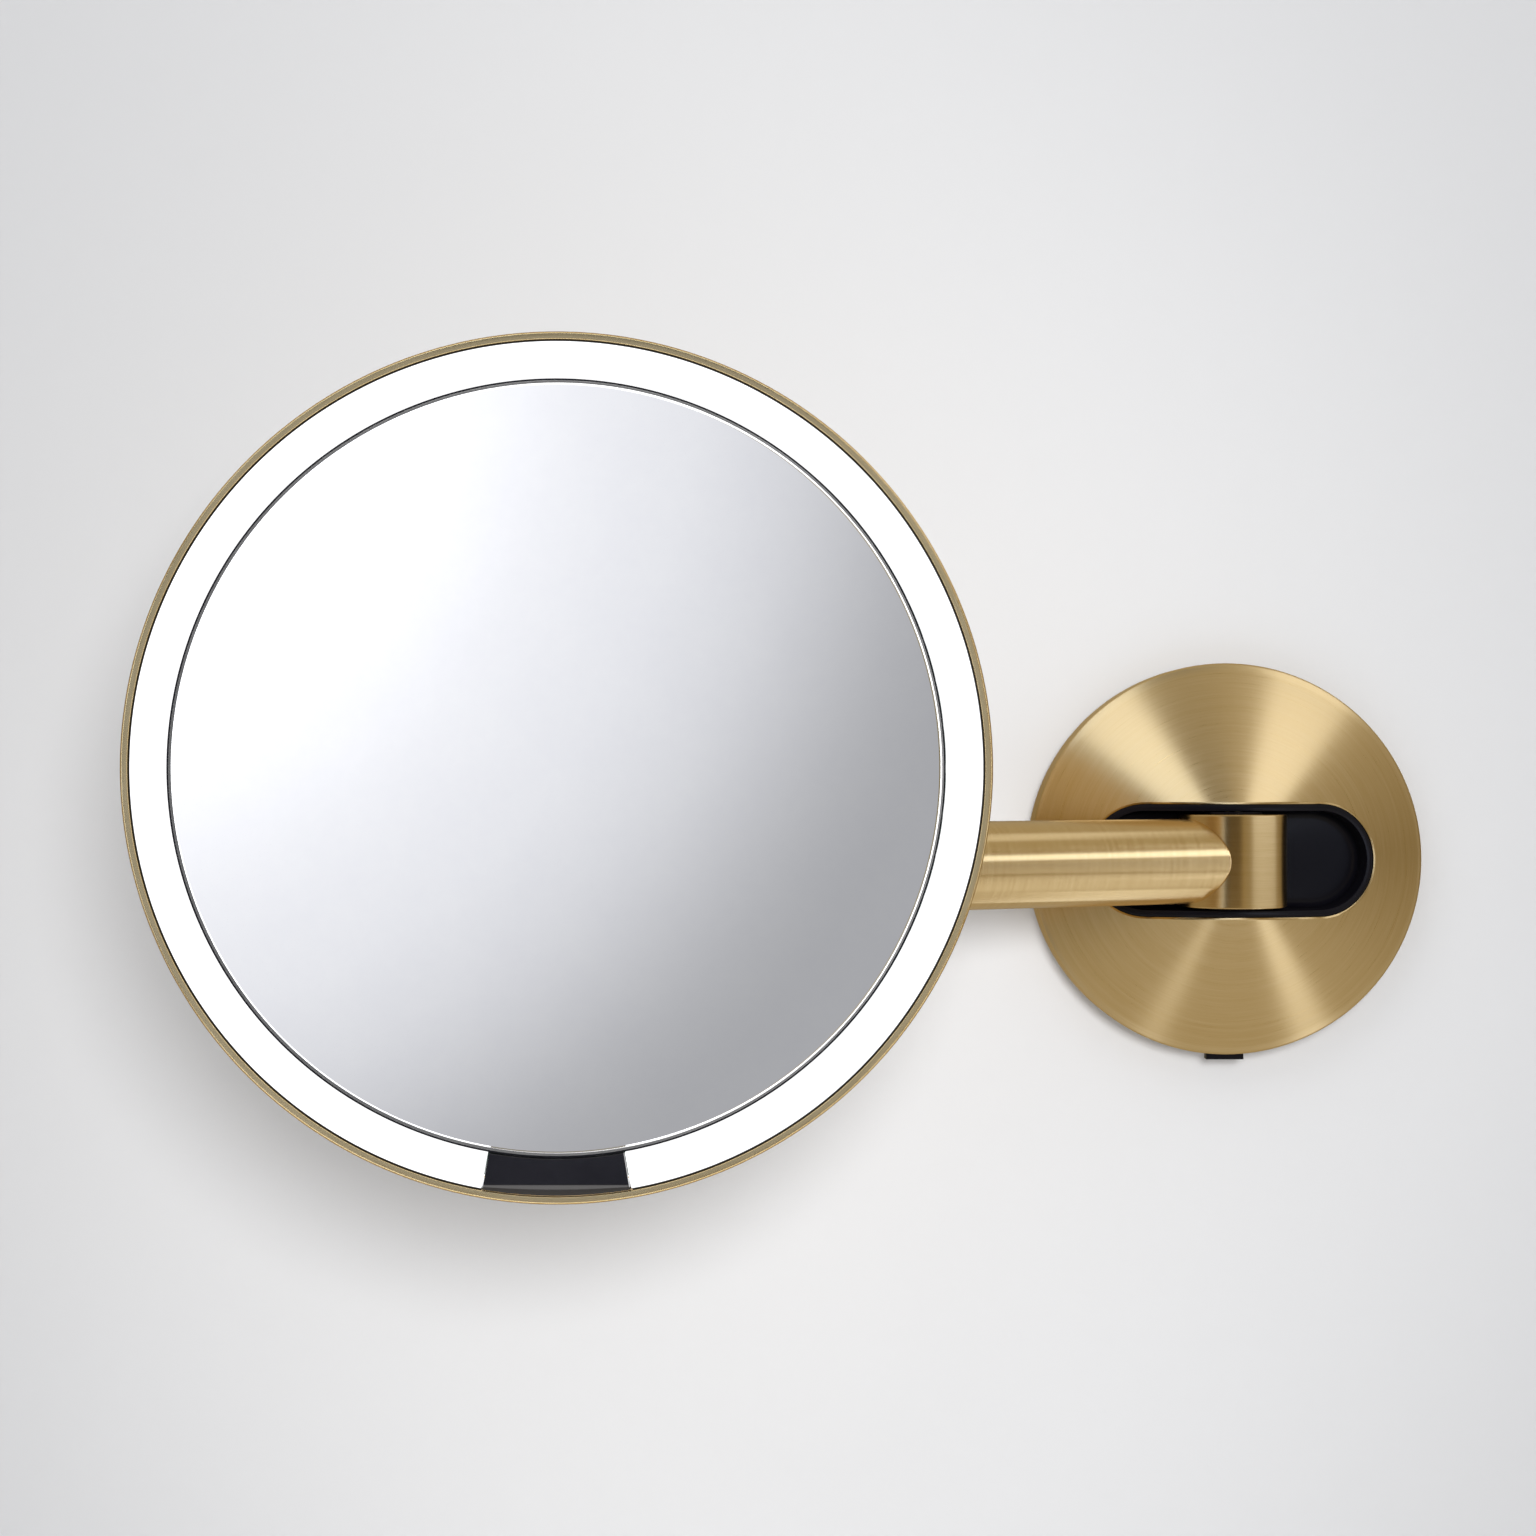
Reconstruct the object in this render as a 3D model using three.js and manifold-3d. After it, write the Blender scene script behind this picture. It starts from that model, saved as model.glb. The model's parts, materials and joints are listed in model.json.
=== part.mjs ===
// Extendable wall-mounted shaving mirror with a lit ring, in millimetres, +Z up.
// The origin is the centre of the wall bracket's back face, on the wall, and the front faces -Y.
// "out" is a distance from the wall towards the room, so out = -y in the base.
import * as THREE from "three";
import { mergeVertices } from "three/addons/utils/BufferGeometryUtils.js";
import Module from "manifold-3d";

const wasm = await Module();
wasm.setup();

// ---------- driving dimensions ----------

// clearances
const GAP = 0.3; // between pieces that touch
const END_GAP = 1.1; // above and below the arm barrel in its pocket

// arm
const ARM_ANGLE = 26.8; // degrees out from the wall at rest
const ARM_LENGTH = 228.6; // arm barrel axis to swivel axis
const TUBE_DIAMETER = 26.8;
const TUBE_WALL = 1.5;
const TUBE_END_MARGIN = 50.6; // end of the outer tube to the swivel axis
const BARREL_OVER_TUBE = 7; // barrel diameter over tube diameter
const BARREL_CAP = 1.3; // barrel standing above and below the tube
const SLIDE_BUSH_WALL = 1.3;
const SLIDE_BUSH_LENGTH = 13.5;
const INNER_TUBE_WALL = 1.5;
const INNER_TUBE_START = 38;
const COLLAR_WALL = 1.1;
const COLLAR_LENGTH = 13;
const SPIGOT_LENGTH = 17;

// wall base
const PLATE_DIAMETER = 127;
const PLATE_SHEET = 1.2;
const PLATE_EDGE = 1.0; // rolled edge of the plate
const PLATE_BEND = 1.3; // exponent of the cone: 1 is straight, 2 is a dome
const RIM_BEHIND_AXIS = 13; // plate rim, behind the barrel axis
const CROWN_OVER_AXIS = 11.5; // tip of the cone, in front of the barrel axis
const SLOT_MARGIN = 17.5; // slot end to plate edge
const LINER_LEDGE = 2.2; // ledge round the pocket inside the slot
const LINER_WALL = 1.5; // liner outside the slot, under the plate
const LINER_FLOOR = 1.7;
const LINER_FLANGE = 2.5;
const POCKET_CLEARANCE = 1.4; // behind the arm barrel
const HINGE_PIN_RADIUS = 3;
const WALL_SHADOW_GAP = 1.5; // plate edge to wall
const BRACKET_SHEET = 2.5;
const HOUSING_FLOOR = 2.6;
const HOUSING_WALL = 3;
const GASKET_WIDTH = 10;
const TAB_WIDTH = 12.2;
const TAB_DEPTH = 5;
const TAB_PROUD = 1.7; // below the plate edge
const TAB_TRAVEL = 2;
const SPRING_RADIUS = 2;
const SPRING_WIRE = 0.35;
const SPRING_LENGTH = 7.6;
const SPRING_TURNS = 5;

// swivel at the arm's end
const KNUCKLE_OVER_TUBE = 4;
const KNUCKLE_CAP = 3;
const POST_RADIUS = 5;
const BUSH_WALL = 1.6;
const BUSH_LENGTH = 9.5;
const POST_FLANGE = 2.5;
const NECK_RADIUS = 7;
const LUG_RADIUS = 8;
const HEAD_RISE = 29.5; // head centre above the arm axis

// head; "h" is a distance behind the glass face
const STANDOFF = 46; // glass face to swivel axis
const HEAD_DEPTH = 22;
const RIM_LIP = 2.1;
const RIM_FRONT = 2;
const RIM_CHAMFER = 0.5;
const GLASS_DIAMETER = 201.2;
const RING_WIDTH = 9.85; // lit ring, from the bezel to the rim
const GLASS_THICKNESS = 3;
const GLASS_CHANNEL = 0.9; // open channel round the glass
const BEZEL_WALL = 0.45;
const BEZEL_FRONT = 1;
const DIFFUSER_FRONT = 1.2;
const DIFFUSER_WALL = 3;
const LED_BOARD_SHEET = 1;
const CARRIER_LIP_FRONT = 3.6; // the lip that the glass's edge lies on
const CARRIER_LIP_WIDTH = 3;
const CARRIER_FRONT = 5.5;
const FLANGE_BEFORE_RIM_BACK = 3.5;
const CARRIER_WALL = 2.5;
const CARRIER_POST = 4; // radius of the posts that the cover screws bite into
const WINDOW_HALF_ANGLE = 10; // degrees each side of the bottom
const WINDOW_BAND = 3; // height of the window's sloping lower facet
const COVER_WALL = 2;
const COVER_FILLET = 6;
const COVER_SIDE_HEIGHT = 8; // from the rim's back to the cover's back
const COVER_SCREW_INSET = 40.6; // along X and Z, from the glass's edge
const BATTERY = { width: 76, height: 34 };
const ROOM_BEHIND_BATTERY = 2.7;
const BOARD = { width: 60, sheet: 1.6, h: 11 };
const BOARD_INSET = 8.6; // bottom edge, from the glass's edge
const SOCKETS_INSET = 12.6;
const PORT = { x: 14, width: 9, height: 4 };
const PORT_WALL = 0.7;
const PORT_MOUTH = 15 / 22; // depth of the mouth as a share of the socket's length
const SWITCH = { x: -16, width: 6, height: 3.2, travel: 4, proud: 0.9 };
const HUB_RADIUS = 19;
const HUB_DISC = 3;
const HUB_SCREW_OFFSET = 13.5;
const EAR_WALL = 4;
const DISC_WALL = 1; // friction discs
const TILT_PIN_RADIUS = 3;

// screws and their holes, as radii
const LINER_SCREW = { head: 2.9, shank: 1.4, length: LINER_FLANGE + HOUSING_FLOOR };
const COVER_SCREW = { head: 3.2, shank: 1.4, length: 9 };
const HUB_SCREW = { head: 3.2, shank: 1.4, length: 8 };
const SCREW_HEAD_HEIGHT = 0.55; // as a share of the head's radius
const CLEAR_HOLE = 1.9;
const PILOT_HOLE = 1.7;
const GRUB_SCREW = 1.5;
const GRUB_HOLE = 1.8;

// bracket tongues and latch
const TONGUE = { x: 18, halfWidth: 4, inset: 21.8, thickness: 1.6 };
const BRACKET_SLOT = { x: 28, halfLength: 6, halfHeight: 2.6 };
const NOSE = { halfWidth: 4, height: 2.4 };
const TAB_RISE = 21; // top of the tab above the plate's bottom edge

// facets round a full turn
const WIDE = 48;
const MEDIUM = 28;
const NARROW = 12;

// ---------- worked out from them ----------

const TUBE_RADIUS = TUBE_DIAMETER / 2;
const TUBE_BORE = TUBE_RADIUS - TUBE_WALL;
const TUBE_END = ARM_LENGTH - TUBE_END_MARGIN; // from the barrel axis
const INNER_TUBE_RADIUS = TUBE_BORE - GAP - SLIDE_BUSH_WALL - GAP;
const BARREL_RADIUS = (TUBE_DIAMETER + BARREL_OVER_TUBE) / 2;
const BARREL_TOP = TUBE_RADIUS + BARREL_CAP;
const POCKET_TOP = BARREL_TOP + END_GAP;
const SLOT_TOP = POCKET_TOP + LINER_LEDGE;
const PLATE_RADIUS = PLATE_DIAMETER / 2;
const SLOT_END = PLATE_RADIUS - SLOT_MARGIN;
const HOUSING_BACK = BRACKET_SHEET + 2 * GAP;
const HOUSING_FRONT = HOUSING_BACK + HOUSING_FLOOR;
const LINER_BACK = HOUSING_FRONT + GAP;
const POCKET_FLOOR = LINER_BACK + LINER_FLOOR;
const AXIS_OUT = POCKET_FLOOR + POCKET_CLEARANCE + BARREL_RADIUS;
const RIM_OUT = AXIS_OUT - RIM_BEHIND_AXIS;
const CROWN_OUT = AXIS_OUT + CROWN_OVER_AXIS;
const HOUSING_RADIUS = PLATE_RADIUS - PLATE_SHEET - 0.5;
const TONGUE_Z = HOUSING_RADIUS - TONGUE.inset;
const FLANGE_RADIUS = HOUSING_RADIUS - HOUSING_WALL - 0.5;
const KNUCKLE_RADIUS = INNER_TUBE_RADIUS + KNUCKLE_OVER_TUBE / 2;
const KNUCKLE_TOP = INNER_TUBE_RADIUS + KNUCKLE_CAP;
const GLASS_RADIUS = GLASS_DIAMETER / 2;
const BEZEL_BORE = GLASS_RADIUS + GLASS_CHANNEL;
const BEZEL_RADIUS = BEZEL_BORE + BEZEL_WALL;
const RING_BORE = BEZEL_RADIUS + GAP;
const RING_RADIUS = RING_BORE + RING_WIDTH;
const RIM_BORE = RING_RADIUS + GAP;
const HEAD_RADIUS = RIM_BORE + RIM_LIP;
const RIM_BACK = HEAD_DEPTH - COVER_SIDE_HEIGHT;
const CARRIER_FLANGE = RIM_BACK - FLANGE_BEFORE_RIM_BACK;
const LED_BOARD_FRONT = CARRIER_FLANGE - GAP - LED_BOARD_SHEET;
const DIFFUSER_BACK = DIFFUSER_FRONT + DIFFUSER_WALL;
const ROOM_FOR_SENSOR = LED_BOARD_FRONT - DIFFUSER_BACK;
const CARRIER_BACK = CARRIER_FRONT + CARRIER_WALL;
const COVER_SCREW_OFFSET = GLASS_RADIUS - COVER_SCREW_INSET;
const HUB_PLATE_RADIUS = HUB_RADIUS + 3;
const BATTERY_BOTTOM = HUB_PLATE_RADIUS + 6;
const BATTERY_BACK = HEAD_DEPTH - COVER_WALL - ROOM_BEHIND_BATTERY;
const BOARD_TOP = -HUB_PLATE_RADIUS - 12;
const BOARD_BOTTOM = -GLASS_RADIUS + BOARD_INSET;
const SOCKETS_Z = -GLASS_RADIUS + SOCKETS_INSET;
const RADIANS = Math.PI / 180;

// ---------- solids ----------

// A closed geometry as a solid whose faces point out.
function solid(geometry) {
  const bare = geometry.index ? geometry.toNonIndexed() : geometry.clone();
  bare.deleteAttribute("normal");
  bare.deleteAttribute("uv");
  const merged = mergeVertices(bare, 1e-4);
  const build = (triVerts) =>
    new wasm.Manifold(
      new wasm.Mesh({
        numProp: 3,
        vertProperties: merged.attributes.position.array,
        triVerts,
      }),
    );
  const corners = new Uint32Array(merged.index.array);
  const made = build(corners);
  return made.volume() < 0 ? build(corners.reverse()) : made;
}

const join = (first, ...others) => others.reduce((a, b) => a.add(b), first);
const cut = (first, ...others) => others.reduce((a, b) => a.subtract(b), first);

function box([x0, x1], [y0, y1], [z0, z1]) {
  const geometry = new THREE.BoxGeometry(x1 - x0, y1 - y0, z1 - z0);
  return solid(geometry.translate((x0 + x1) / 2, (y0 + y1) / 2, (z0 + z1) / 2));
}

// A cylinder between two points along one axis; at gives its place on the other two.
function rod(axis, radius, from, to, sides, at = [0, 0]) {
  const geometry = new THREE.CylinderGeometry(radius, radius, to - from, sides);
  geometry.translate(0, (from + to) / 2, 0);
  if (axis === "x") geometry.rotateZ(-Math.PI / 2).translate(0, at[0], at[1]);
  if (axis === "y") geometry.translate(at[0], 0, at[1]);
  if (axis === "z") geometry.rotateX(Math.PI / 2).translate(at[0], at[1], 0);
  return solid(geometry);
}

// A profile of [radius, along] turned about an axis.
function turned(axis, profile, sides) {
  const onAxis = profile[0][0] === 0;
  const closed = onAxis ? profile : [...profile, profile[0]];
  const points = closed.map(([radius, along]) => new THREE.Vector2(radius, along));
  const geometry = new THREE.LatheGeometry(points, sides);
  if (axis === "x") geometry.rotateZ(-Math.PI / 2);
  if (axis === "z") geometry.rotateX(Math.PI / 2);
  return solid(geometry);
}

const sleeve = (axis, bore, radius, from, to, sides) =>
  turned(axis, [[bore, from], [radius, from], [radius, to], [bore, to]], sides);

// An upright outline in X and Z, extruded from one distance out from the wall to another.
function outwards(shape, from, to) {
  const geometry = new THREE.ExtrudeGeometry(shape, {
    depth: to - from,
    bevelEnabled: false,
    curveSegments: 12,
  });
  return solid(geometry.rotateX(Math.PI / 2).translate(0, -from, 0));
}

function obround(halfLength, halfHeight, from, to) {
  const shape = new THREE.Shape();
  const straight = halfLength - halfHeight;
  shape.absarc(straight, 0, halfHeight, -Math.PI / 2, Math.PI / 2);
  shape.absarc(-straight, 0, halfHeight, Math.PI / 2, (3 * Math.PI) / 2);
  return outwards(shape, from, to);
}

// ---------- nodes ----------

const mirror = new THREE.Group();
const arm = new THREE.Group();
const swivel = new THREE.Group();
const head = new THREE.Group();
mirror.add(arm, swivel, head);

arm.position.set(0, -AXIS_OUT, 0);
arm.rotation.z = Math.PI + ARM_ANGLE * RADIANS;
const swivelX = -ARM_LENGTH * Math.cos(ARM_ANGLE * RADIANS);
const swivelY = -AXIS_OUT - ARM_LENGTH * Math.sin(ARM_ANGLE * RADIANS);
swivel.position.set(swivelX, swivelY, 0);
head.position.set(swivelX, swivelY, HEAD_RISE);

const finishes = {
  brass: { color: 0xb0935a, roughness: 0.35, metalness: 1 },
  steel: { color: 0x9a9ca0, roughness: 0.4, metalness: 1 },
  black_plastic: { color: 0x1b1b20, roughness: 0.5, metalness: 0 },
  bush_plastic: { color: 0xd9d6cc, roughness: 0.6, metalness: 0 },
  foam: { color: 0x2b2b2d, roughness: 0.9, metalness: 0 },
  white_plastic: { color: 0xf2f2f0, roughness: 0.5, metalness: 0 },
  diffuser: { color: 0xffffff, roughness: 0.6, metalness: 0 },
  mirror: { color: 0xd5d7da, roughness: 0.02, metalness: 1 },
  black_gloss: { color: 0x202024, roughness: 0.1, metalness: 0 },
  circuit_board: { color: 0x24523a, roughness: 0.5, metalness: 0 },
  battery: { color: 0x3b4a63, roughness: 0.5, metalness: 0 },
};

function node(parent, name, finish, shape) {
  const made = shape.getMesh();
  const geometry = new THREE.BufferGeometry();
  geometry.setAttribute("position", new THREE.BufferAttribute(made.vertProperties, 3));
  geometry.setIndex(new THREE.BufferAttribute(made.triVerts, 1));
  geometry.computeVertexNormals();
  const mesh = new THREE.Mesh(geometry, new THREE.MeshStandardMaterial(finishes[finish]));
  mesh.name = name;
  parent.add(mesh);
}

// ---------- wall base ----------

// Height of the plate's face above the wall: a shallow cone that bends slightly over.
const plateFace = (radius) =>
  RIM_OUT + (CROWN_OUT - RIM_OUT) * (1 - (radius / PLATE_RADIUS) ** PLATE_BEND);

// The cone's face lowered by some depth, as [radius, y] from the centre to the edge.
function coneProfile(depth, edge) {
  const shares = [0, 0.25, 0.5, 0.75, 1];
  return shares.map((share) => [share * edge, depth - plateFace(share * edge)]);
}

const slotCutter = () => obround(SLOT_END, SLOT_TOP, 0, CROWN_OUT + 1);

const TAB_OUT = (RIM_OUT - PLATE_EDGE) / 2 + WALL_SHADOW_GAP + 1.5; // middle of the tab
const TAB_BOTTOM = -PLATE_RADIUS - TAB_PROUD;
const TAB_TOP = -PLATE_RADIUS + TAB_RISE;
const TAB_SPAN = [-TAB_OUT - TAB_DEPTH / 2, -TAB_OUT + TAB_DEPTH / 2];
const SPRING_TOP = TAB_TOP + GAP + SPRING_LENGTH;
const CATCH_TOP = TAB_TOP - NOSE.height - GAP;
const GRUB_ANGLES = [-58, -122];

const wide = (halfWidth, clearance = 0) => [-halfWidth - clearance, halfWidth + clearance];

// The tab's way through a round wall at the bottom.
const tabWindow = () =>
  box(
    wide(TAB_WIDTH / 2, GAP),
    [TAB_SPAN[0] - GAP, TAB_SPAN[1] + GAP],
    [-PLATE_RADIUS - 1, -FLANGE_RADIUS + 1],
  );

// A radial cylinder at each grub screw, between two distances from the centre.
function grub(angle, radius, from, to) {
  const along = rod("x", radius, from, to, NARROW);
  return along.rotate([0, -angle, 0]).translate([0, -TAB_OUT, 0]);
}

function wallPlate() {
  const edge = PLATE_RADIUS - PLATE_EDGE;
  const inside = PLATE_RADIUS - PLATE_SHEET;
  const shell = turned(
    "y",
    [
      ...coneProfile(0, edge),
      [PLATE_RADIUS, -RIM_OUT + PLATE_EDGE],
      [PLATE_RADIUS, -WALL_SHADOW_GAP],
      [inside, -WALL_SHADOW_GAP],
      ...coneProfile(PLATE_SHEET, inside).reverse(),
    ],
    WIDE,
  );
  const holes = GRUB_ANGLES.map((a) => grub(a, GRUB_HOLE, PLATE_RADIUS - 4, PLATE_RADIUS + 1));
  return cut(shell, slotCutter(), tabWindow(), ...holes);
}

function underPlate() {
  const edge = PLATE_RADIUS - PLATE_SHEET;
  return turned("y", [...coneProfile(PLATE_SHEET + GAP, edge), [edge, 0], [0, 0]], WIDE);
}

const linerScrewAngles = [37, 143, 217, 323];
const linerScrewPlaces = linerScrewAngles.map((angle) => [
  (FLANGE_RADIUS - 7) * Math.cos(angle * RADIANS),
  (FLANGE_RADIUS - 7) * Math.sin(angle * RADIANS),
]);

function pocketLiner() {
  const cup = obround(SLOT_END + LINER_WALL, SLOT_TOP + LINER_WALL, LINER_BACK, CROWN_OUT);
  const flange = rod("y", FLANGE_RADIUS, -LINER_BACK - LINER_FLANGE, -LINER_BACK, WIDE);
  const pocket = obround(SLOT_END - LINER_LEDGE, POCKET_TOP, POCKET_FLOOR, CROWN_OUT + 1);
  const pinLine = [0, -AXIS_OUT];
  const pinEnd = SLOT_TOP + LINER_WALL + 1;
  const pinBore = rod("z", HINGE_PIN_RADIUS + GAP, -pinEnd, pinEnd, NARROW, pinLine);
  const tabRoom = box(
    wide(TAB_WIDTH / 2, 3.4),
    [-LINER_BACK - LINER_FLANGE - 1, -LINER_BACK + 1],
    [-PLATE_RADIUS, SPRING_TOP + 3.5],
  );
  const holes = linerScrewPlaces.map((place) => rod("y", CLEAR_HOLE, -AXIS_OUT, 0, NARROW, place));
  return cut(join(cup.intersect(underPlate()), flange), pocket, pinBore, tabRoom, ...holes);
}

function baseHousing() {
  const top = plateFace(HOUSING_RADIUS) - PLATE_SHEET - GAP;
  const inside = HOUSING_RADIUS - HOUSING_WALL;
  const cup = turned(
    "y",
    [
      [0, -HOUSING_BACK],
      [HOUSING_RADIUS, -HOUSING_BACK],
      [HOUSING_RADIUS, -top],
      [inside, -top],
      [inside, -HOUSING_FRONT],
      [0, -HOUSING_FRONT],
    ],
    WIDE,
  );
  const seatDepth = [TAB_SPAN[0], -HOUSING_FRONT + 0.3];
  const springSeat = box(wide(5), seatDepth, [SPRING_TOP + GAP, SPRING_TOP + GAP + 2]);
  const cuts = [
    tabWindow(),
    box(wide(NOSE.halfWidth, 0.5), [-LINER_BACK, 0], [CATCH_TOP - 3, TAB_TOP + TAB_TRAVEL + 1]),
    ...[-1, 1].map((side) => {
      const across = [side * TONGUE.x - TONGUE.halfWidth - 0.8, side * TONGUE.x + TONGUE.halfWidth + 0.8];
      return box(across, [-LINER_BACK, 0], [TONGUE_Z - 2.5, TONGUE_Z + 2.5]);
    }),
    ...linerScrewPlaces.map((place) => rod("y", PILOT_HOLE, -LINER_BACK, 0, NARROW, place)),
    ...GRUB_ANGLES.map((a) => grub(a, GRUB_HOLE, inside - 1, HOUSING_RADIUS + 1)),
  ];
  return cut(join(cup, springSeat), ...cuts);
}

function wallBracket() {
  const radius = HOUSING_RADIUS - GASKET_WIDTH - 3;
  const sheet = rod("y", radius, -BRACKET_SHEET, 0, WIDE);
  const slots = [-1, 1].map((side) => {
    const slot = obround(BRACKET_SLOT.halfLength, BRACKET_SLOT.halfHeight, -1, BRACKET_SHEET + 1);
    return slot.translate([side * BRACKET_SLOT.x, 0, 0]);
  });
  const half = TONGUE.thickness / 2;
  const upright = (x, z) =>
    box(
      [x - TONGUE.halfWidth, x + TONGUE.halfWidth],
      [-HOUSING_FRONT + GAP, -BRACKET_SHEET / 2],
      [z - half, z + half],
    );
  const tongues = [-1, 1].map((side) => upright(side * TONGUE.x, TONGUE_Z));
  const latchCatch = upright(0, CATCH_TOP - half);
  return join(cut(sheet, ...slots), ...tongues, latchCatch);
}

function releaseTab() {
  const body = box(wide(TAB_WIDTH / 2), TAB_SPAN, [TAB_BOTTOM, TAB_TOP]);
  const noseDepth = [TAB_SPAN[1] - 0.5, -HOUSING_BACK - GAP];
  const nose = box(wide(NOSE.halfWidth), noseDepth, [TAB_TOP - NOSE.height, TAB_TOP]);
  return join(body, nose);
}

class Helix extends THREE.Curve {
  getPoint(t) {
    const angle = 2 * Math.PI * SPRING_TURNS * t;
    const rise = SPRING_WIRE + (SPRING_LENGTH - 2 * SPRING_WIRE) * t;
    return new THREE.Vector3(
      SPRING_RADIUS * Math.cos(angle),
      -TAB_OUT + SPRING_RADIUS * Math.sin(angle),
      TAB_TOP + GAP + rise,
    );
  }
}

function releaseSpring() {
  const wire = new THREE.Shape().absarc(0, 0, SPRING_WIRE, 0, 2 * Math.PI);
  const options = { steps: 8 * SPRING_TURNS, curveSegments: 3, extrudePath: new Helix() };
  return solid(new THREE.ExtrudeGeometry(wire, options));
}

// A pan-head screw along Y whose head's underside is at seat; into is the way its shank points.
function panScrew([x, z], seat, into, sizes) {
  const headBack = seat - into * sizes.head * SCREW_HEAD_HEIGHT;
  const headEnds = [seat, headBack].sort((a, b) => a - b);
  const shankStart = seat - (into * sizes.head) / 4;
  const shankEnds = [shankStart, seat + into * sizes.length].sort((a, b) => a - b);
  const cap = rod("y", sizes.head, ...headEnds, NARROW, [x, z]);
  const shank = rod("y", sizes.shank, ...shankEnds, NARROW / 2, [x, z]);
  const socket = rod("y", sizes.head * 0.42, headBack - 0.4, headBack + 0.4, 6, [x, z]);
  return cut(join(cap, shank), socket);
}

node(mirror, "wall_bracket", "steel", wallBracket());
node(
  mirror,
  "wall_gasket",
  "foam",
  sleeve("y", HOUSING_RADIUS - GASKET_WIDTH, HOUSING_RADIUS - 1, -HOUSING_BACK + GAP, 0, WIDE),
);
node(mirror, "base_housing", "black_plastic", baseHousing());
node(mirror, "wall_plate", "brass", wallPlate());
node(mirror, "pocket_liner", "black_plastic", pocketLiner());
node(mirror, "release_tab", "black_plastic", releaseTab());
node(mirror, "release_spring", "steel", releaseSpring());
linerScrewPlaces.forEach((place, i) => {
  const seat = -LINER_BACK - LINER_FLANGE - GAP;
  node(mirror, `liner_screw_${i + 1}`, "steel", panScrew(place, seat, 1, LINER_SCREW));
});
GRUB_ANGLES.forEach((angle, i) => {
  const screw = grub(angle, GRUB_SCREW, HOUSING_RADIUS - HOUSING_WALL, PLATE_RADIUS - 0.4);
  node(mirror, `plate_grub_screw_${i + 1}`, "steel", screw);
});

// The hinge pin, its washers and bushes stand on the arm barrel's axis.
const PIN_END = SLOT_TOP + LINER_WALL - GAP;
const BORE_RADIUS = HINGE_PIN_RADIUS + 2 * GAP + BUSH_WALL;
const onAxis = (shape) => shape.translate([0, -AXIS_OUT, 0]);
const WASHER_BORE = HINGE_PIN_RADIUS + GAP;
node(mirror, "hinge_pin", "steel", onAxis(rod("z", HINGE_PIN_RADIUS, -PIN_END, PIN_END, NARROW)));
for (const [name, side] of [["upper", 1], ["lower", -1]]) {
  const ends = [side * (BARREL_TOP + GAP), side * (POCKET_TOP - GAP)].sort((a, b) => a - b);
  const washer = sleeve("z", WASHER_BORE, WASHER_BORE + 6, ...ends, NARROW);
  node(mirror, `${name}_thrust_washer`, "bush_plastic", onAxis(washer));
}

// ---------- arm: its own frame has the barrel upright at the origin and the tube along +X ----------

// An upright barrel with a spigot along X, bored for its bushes. side is the spigot's direction.
function barrelWithSpigot(radius, top, spigotRadius, spigotEnd, bore, side) {
  const barrel = rod("z", radius, -top, top, MEDIUM);
  const ends = [0, side * spigotEnd].sort((a, b) => a - b);
  const spigot = rod("x", spigotRadius, ...ends, MEDIUM);
  return cut(join(barrel, spigot), rod("z", bore, -top - 1, top + 1, NARROW));
}

function hingeBushes(parent, prefix, radius, bore, top, place) {
  for (const [name, side] of [["upper", 1], ["lower", -1]]) {
    const ends = [side * (top - BUSH_LENGTH), side * (top - 0.1)].sort((a, b) => a - b);
    const bush = sleeve("z", bore, radius, ...ends, NARROW).translate([place, 0, 0]);
    node(parent, `${prefix}${name}_bush`, "bush_plastic", bush);
  }
}

const spigotRadius = TUBE_BORE - GAP;
const spigotEnd = BARREL_RADIUS + SPIGOT_LENGTH;
node(
  arm,
  "arm_barrel",
  "brass",
  barrelWithSpigot(BARREL_RADIUS, BARREL_TOP, spigotRadius, spigotEnd, BORE_RADIUS, 1),
);
hingeBushes(arm, "hinge_", BORE_RADIUS - GAP, WASHER_BORE, BARREL_TOP, 0);

const barrelCope = rod("z", BARREL_RADIUS + GAP, -2 * TUBE_RADIUS, 2 * TUBE_RADIUS, MEDIUM * 2);
node(
  arm,
  "outer_tube",
  "brass",
  cut(sleeve("x", TUBE_BORE, TUBE_RADIUS, 0, TUBE_END, MEDIUM), barrelCope),
);
const COLLAR_BORE = INNER_TUBE_RADIUS + GAP;
const COLLAR_START = TUBE_END + 3 - COLLAR_LENGTH;
node(
  arm,
  "tube_collar",
  "brass",
  turned(
    "x",
    [
      [TUBE_RADIUS + GAP, COLLAR_START],
      [TUBE_RADIUS + GAP + COLLAR_WALL, COLLAR_START],
      [TUBE_RADIUS + GAP + COLLAR_WALL, TUBE_END + 3],
      [COLLAR_BORE, TUBE_END + 3],
      [COLLAR_BORE, TUBE_END + GAP],
      [TUBE_RADIUS + GAP, TUBE_END + GAP],
    ],
    MEDIUM,
  ),
);
const slideBush = (from) =>
  sleeve("x", COLLAR_BORE, TUBE_BORE - GAP, from, from + SLIDE_BUSH_LENGTH, MEDIUM);
node(arm, "collar_bush", "bush_plastic", slideBush(TUBE_END - 0.3 - SLIDE_BUSH_LENGTH));

// ---------- slider: in the arm's frame ----------

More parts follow.
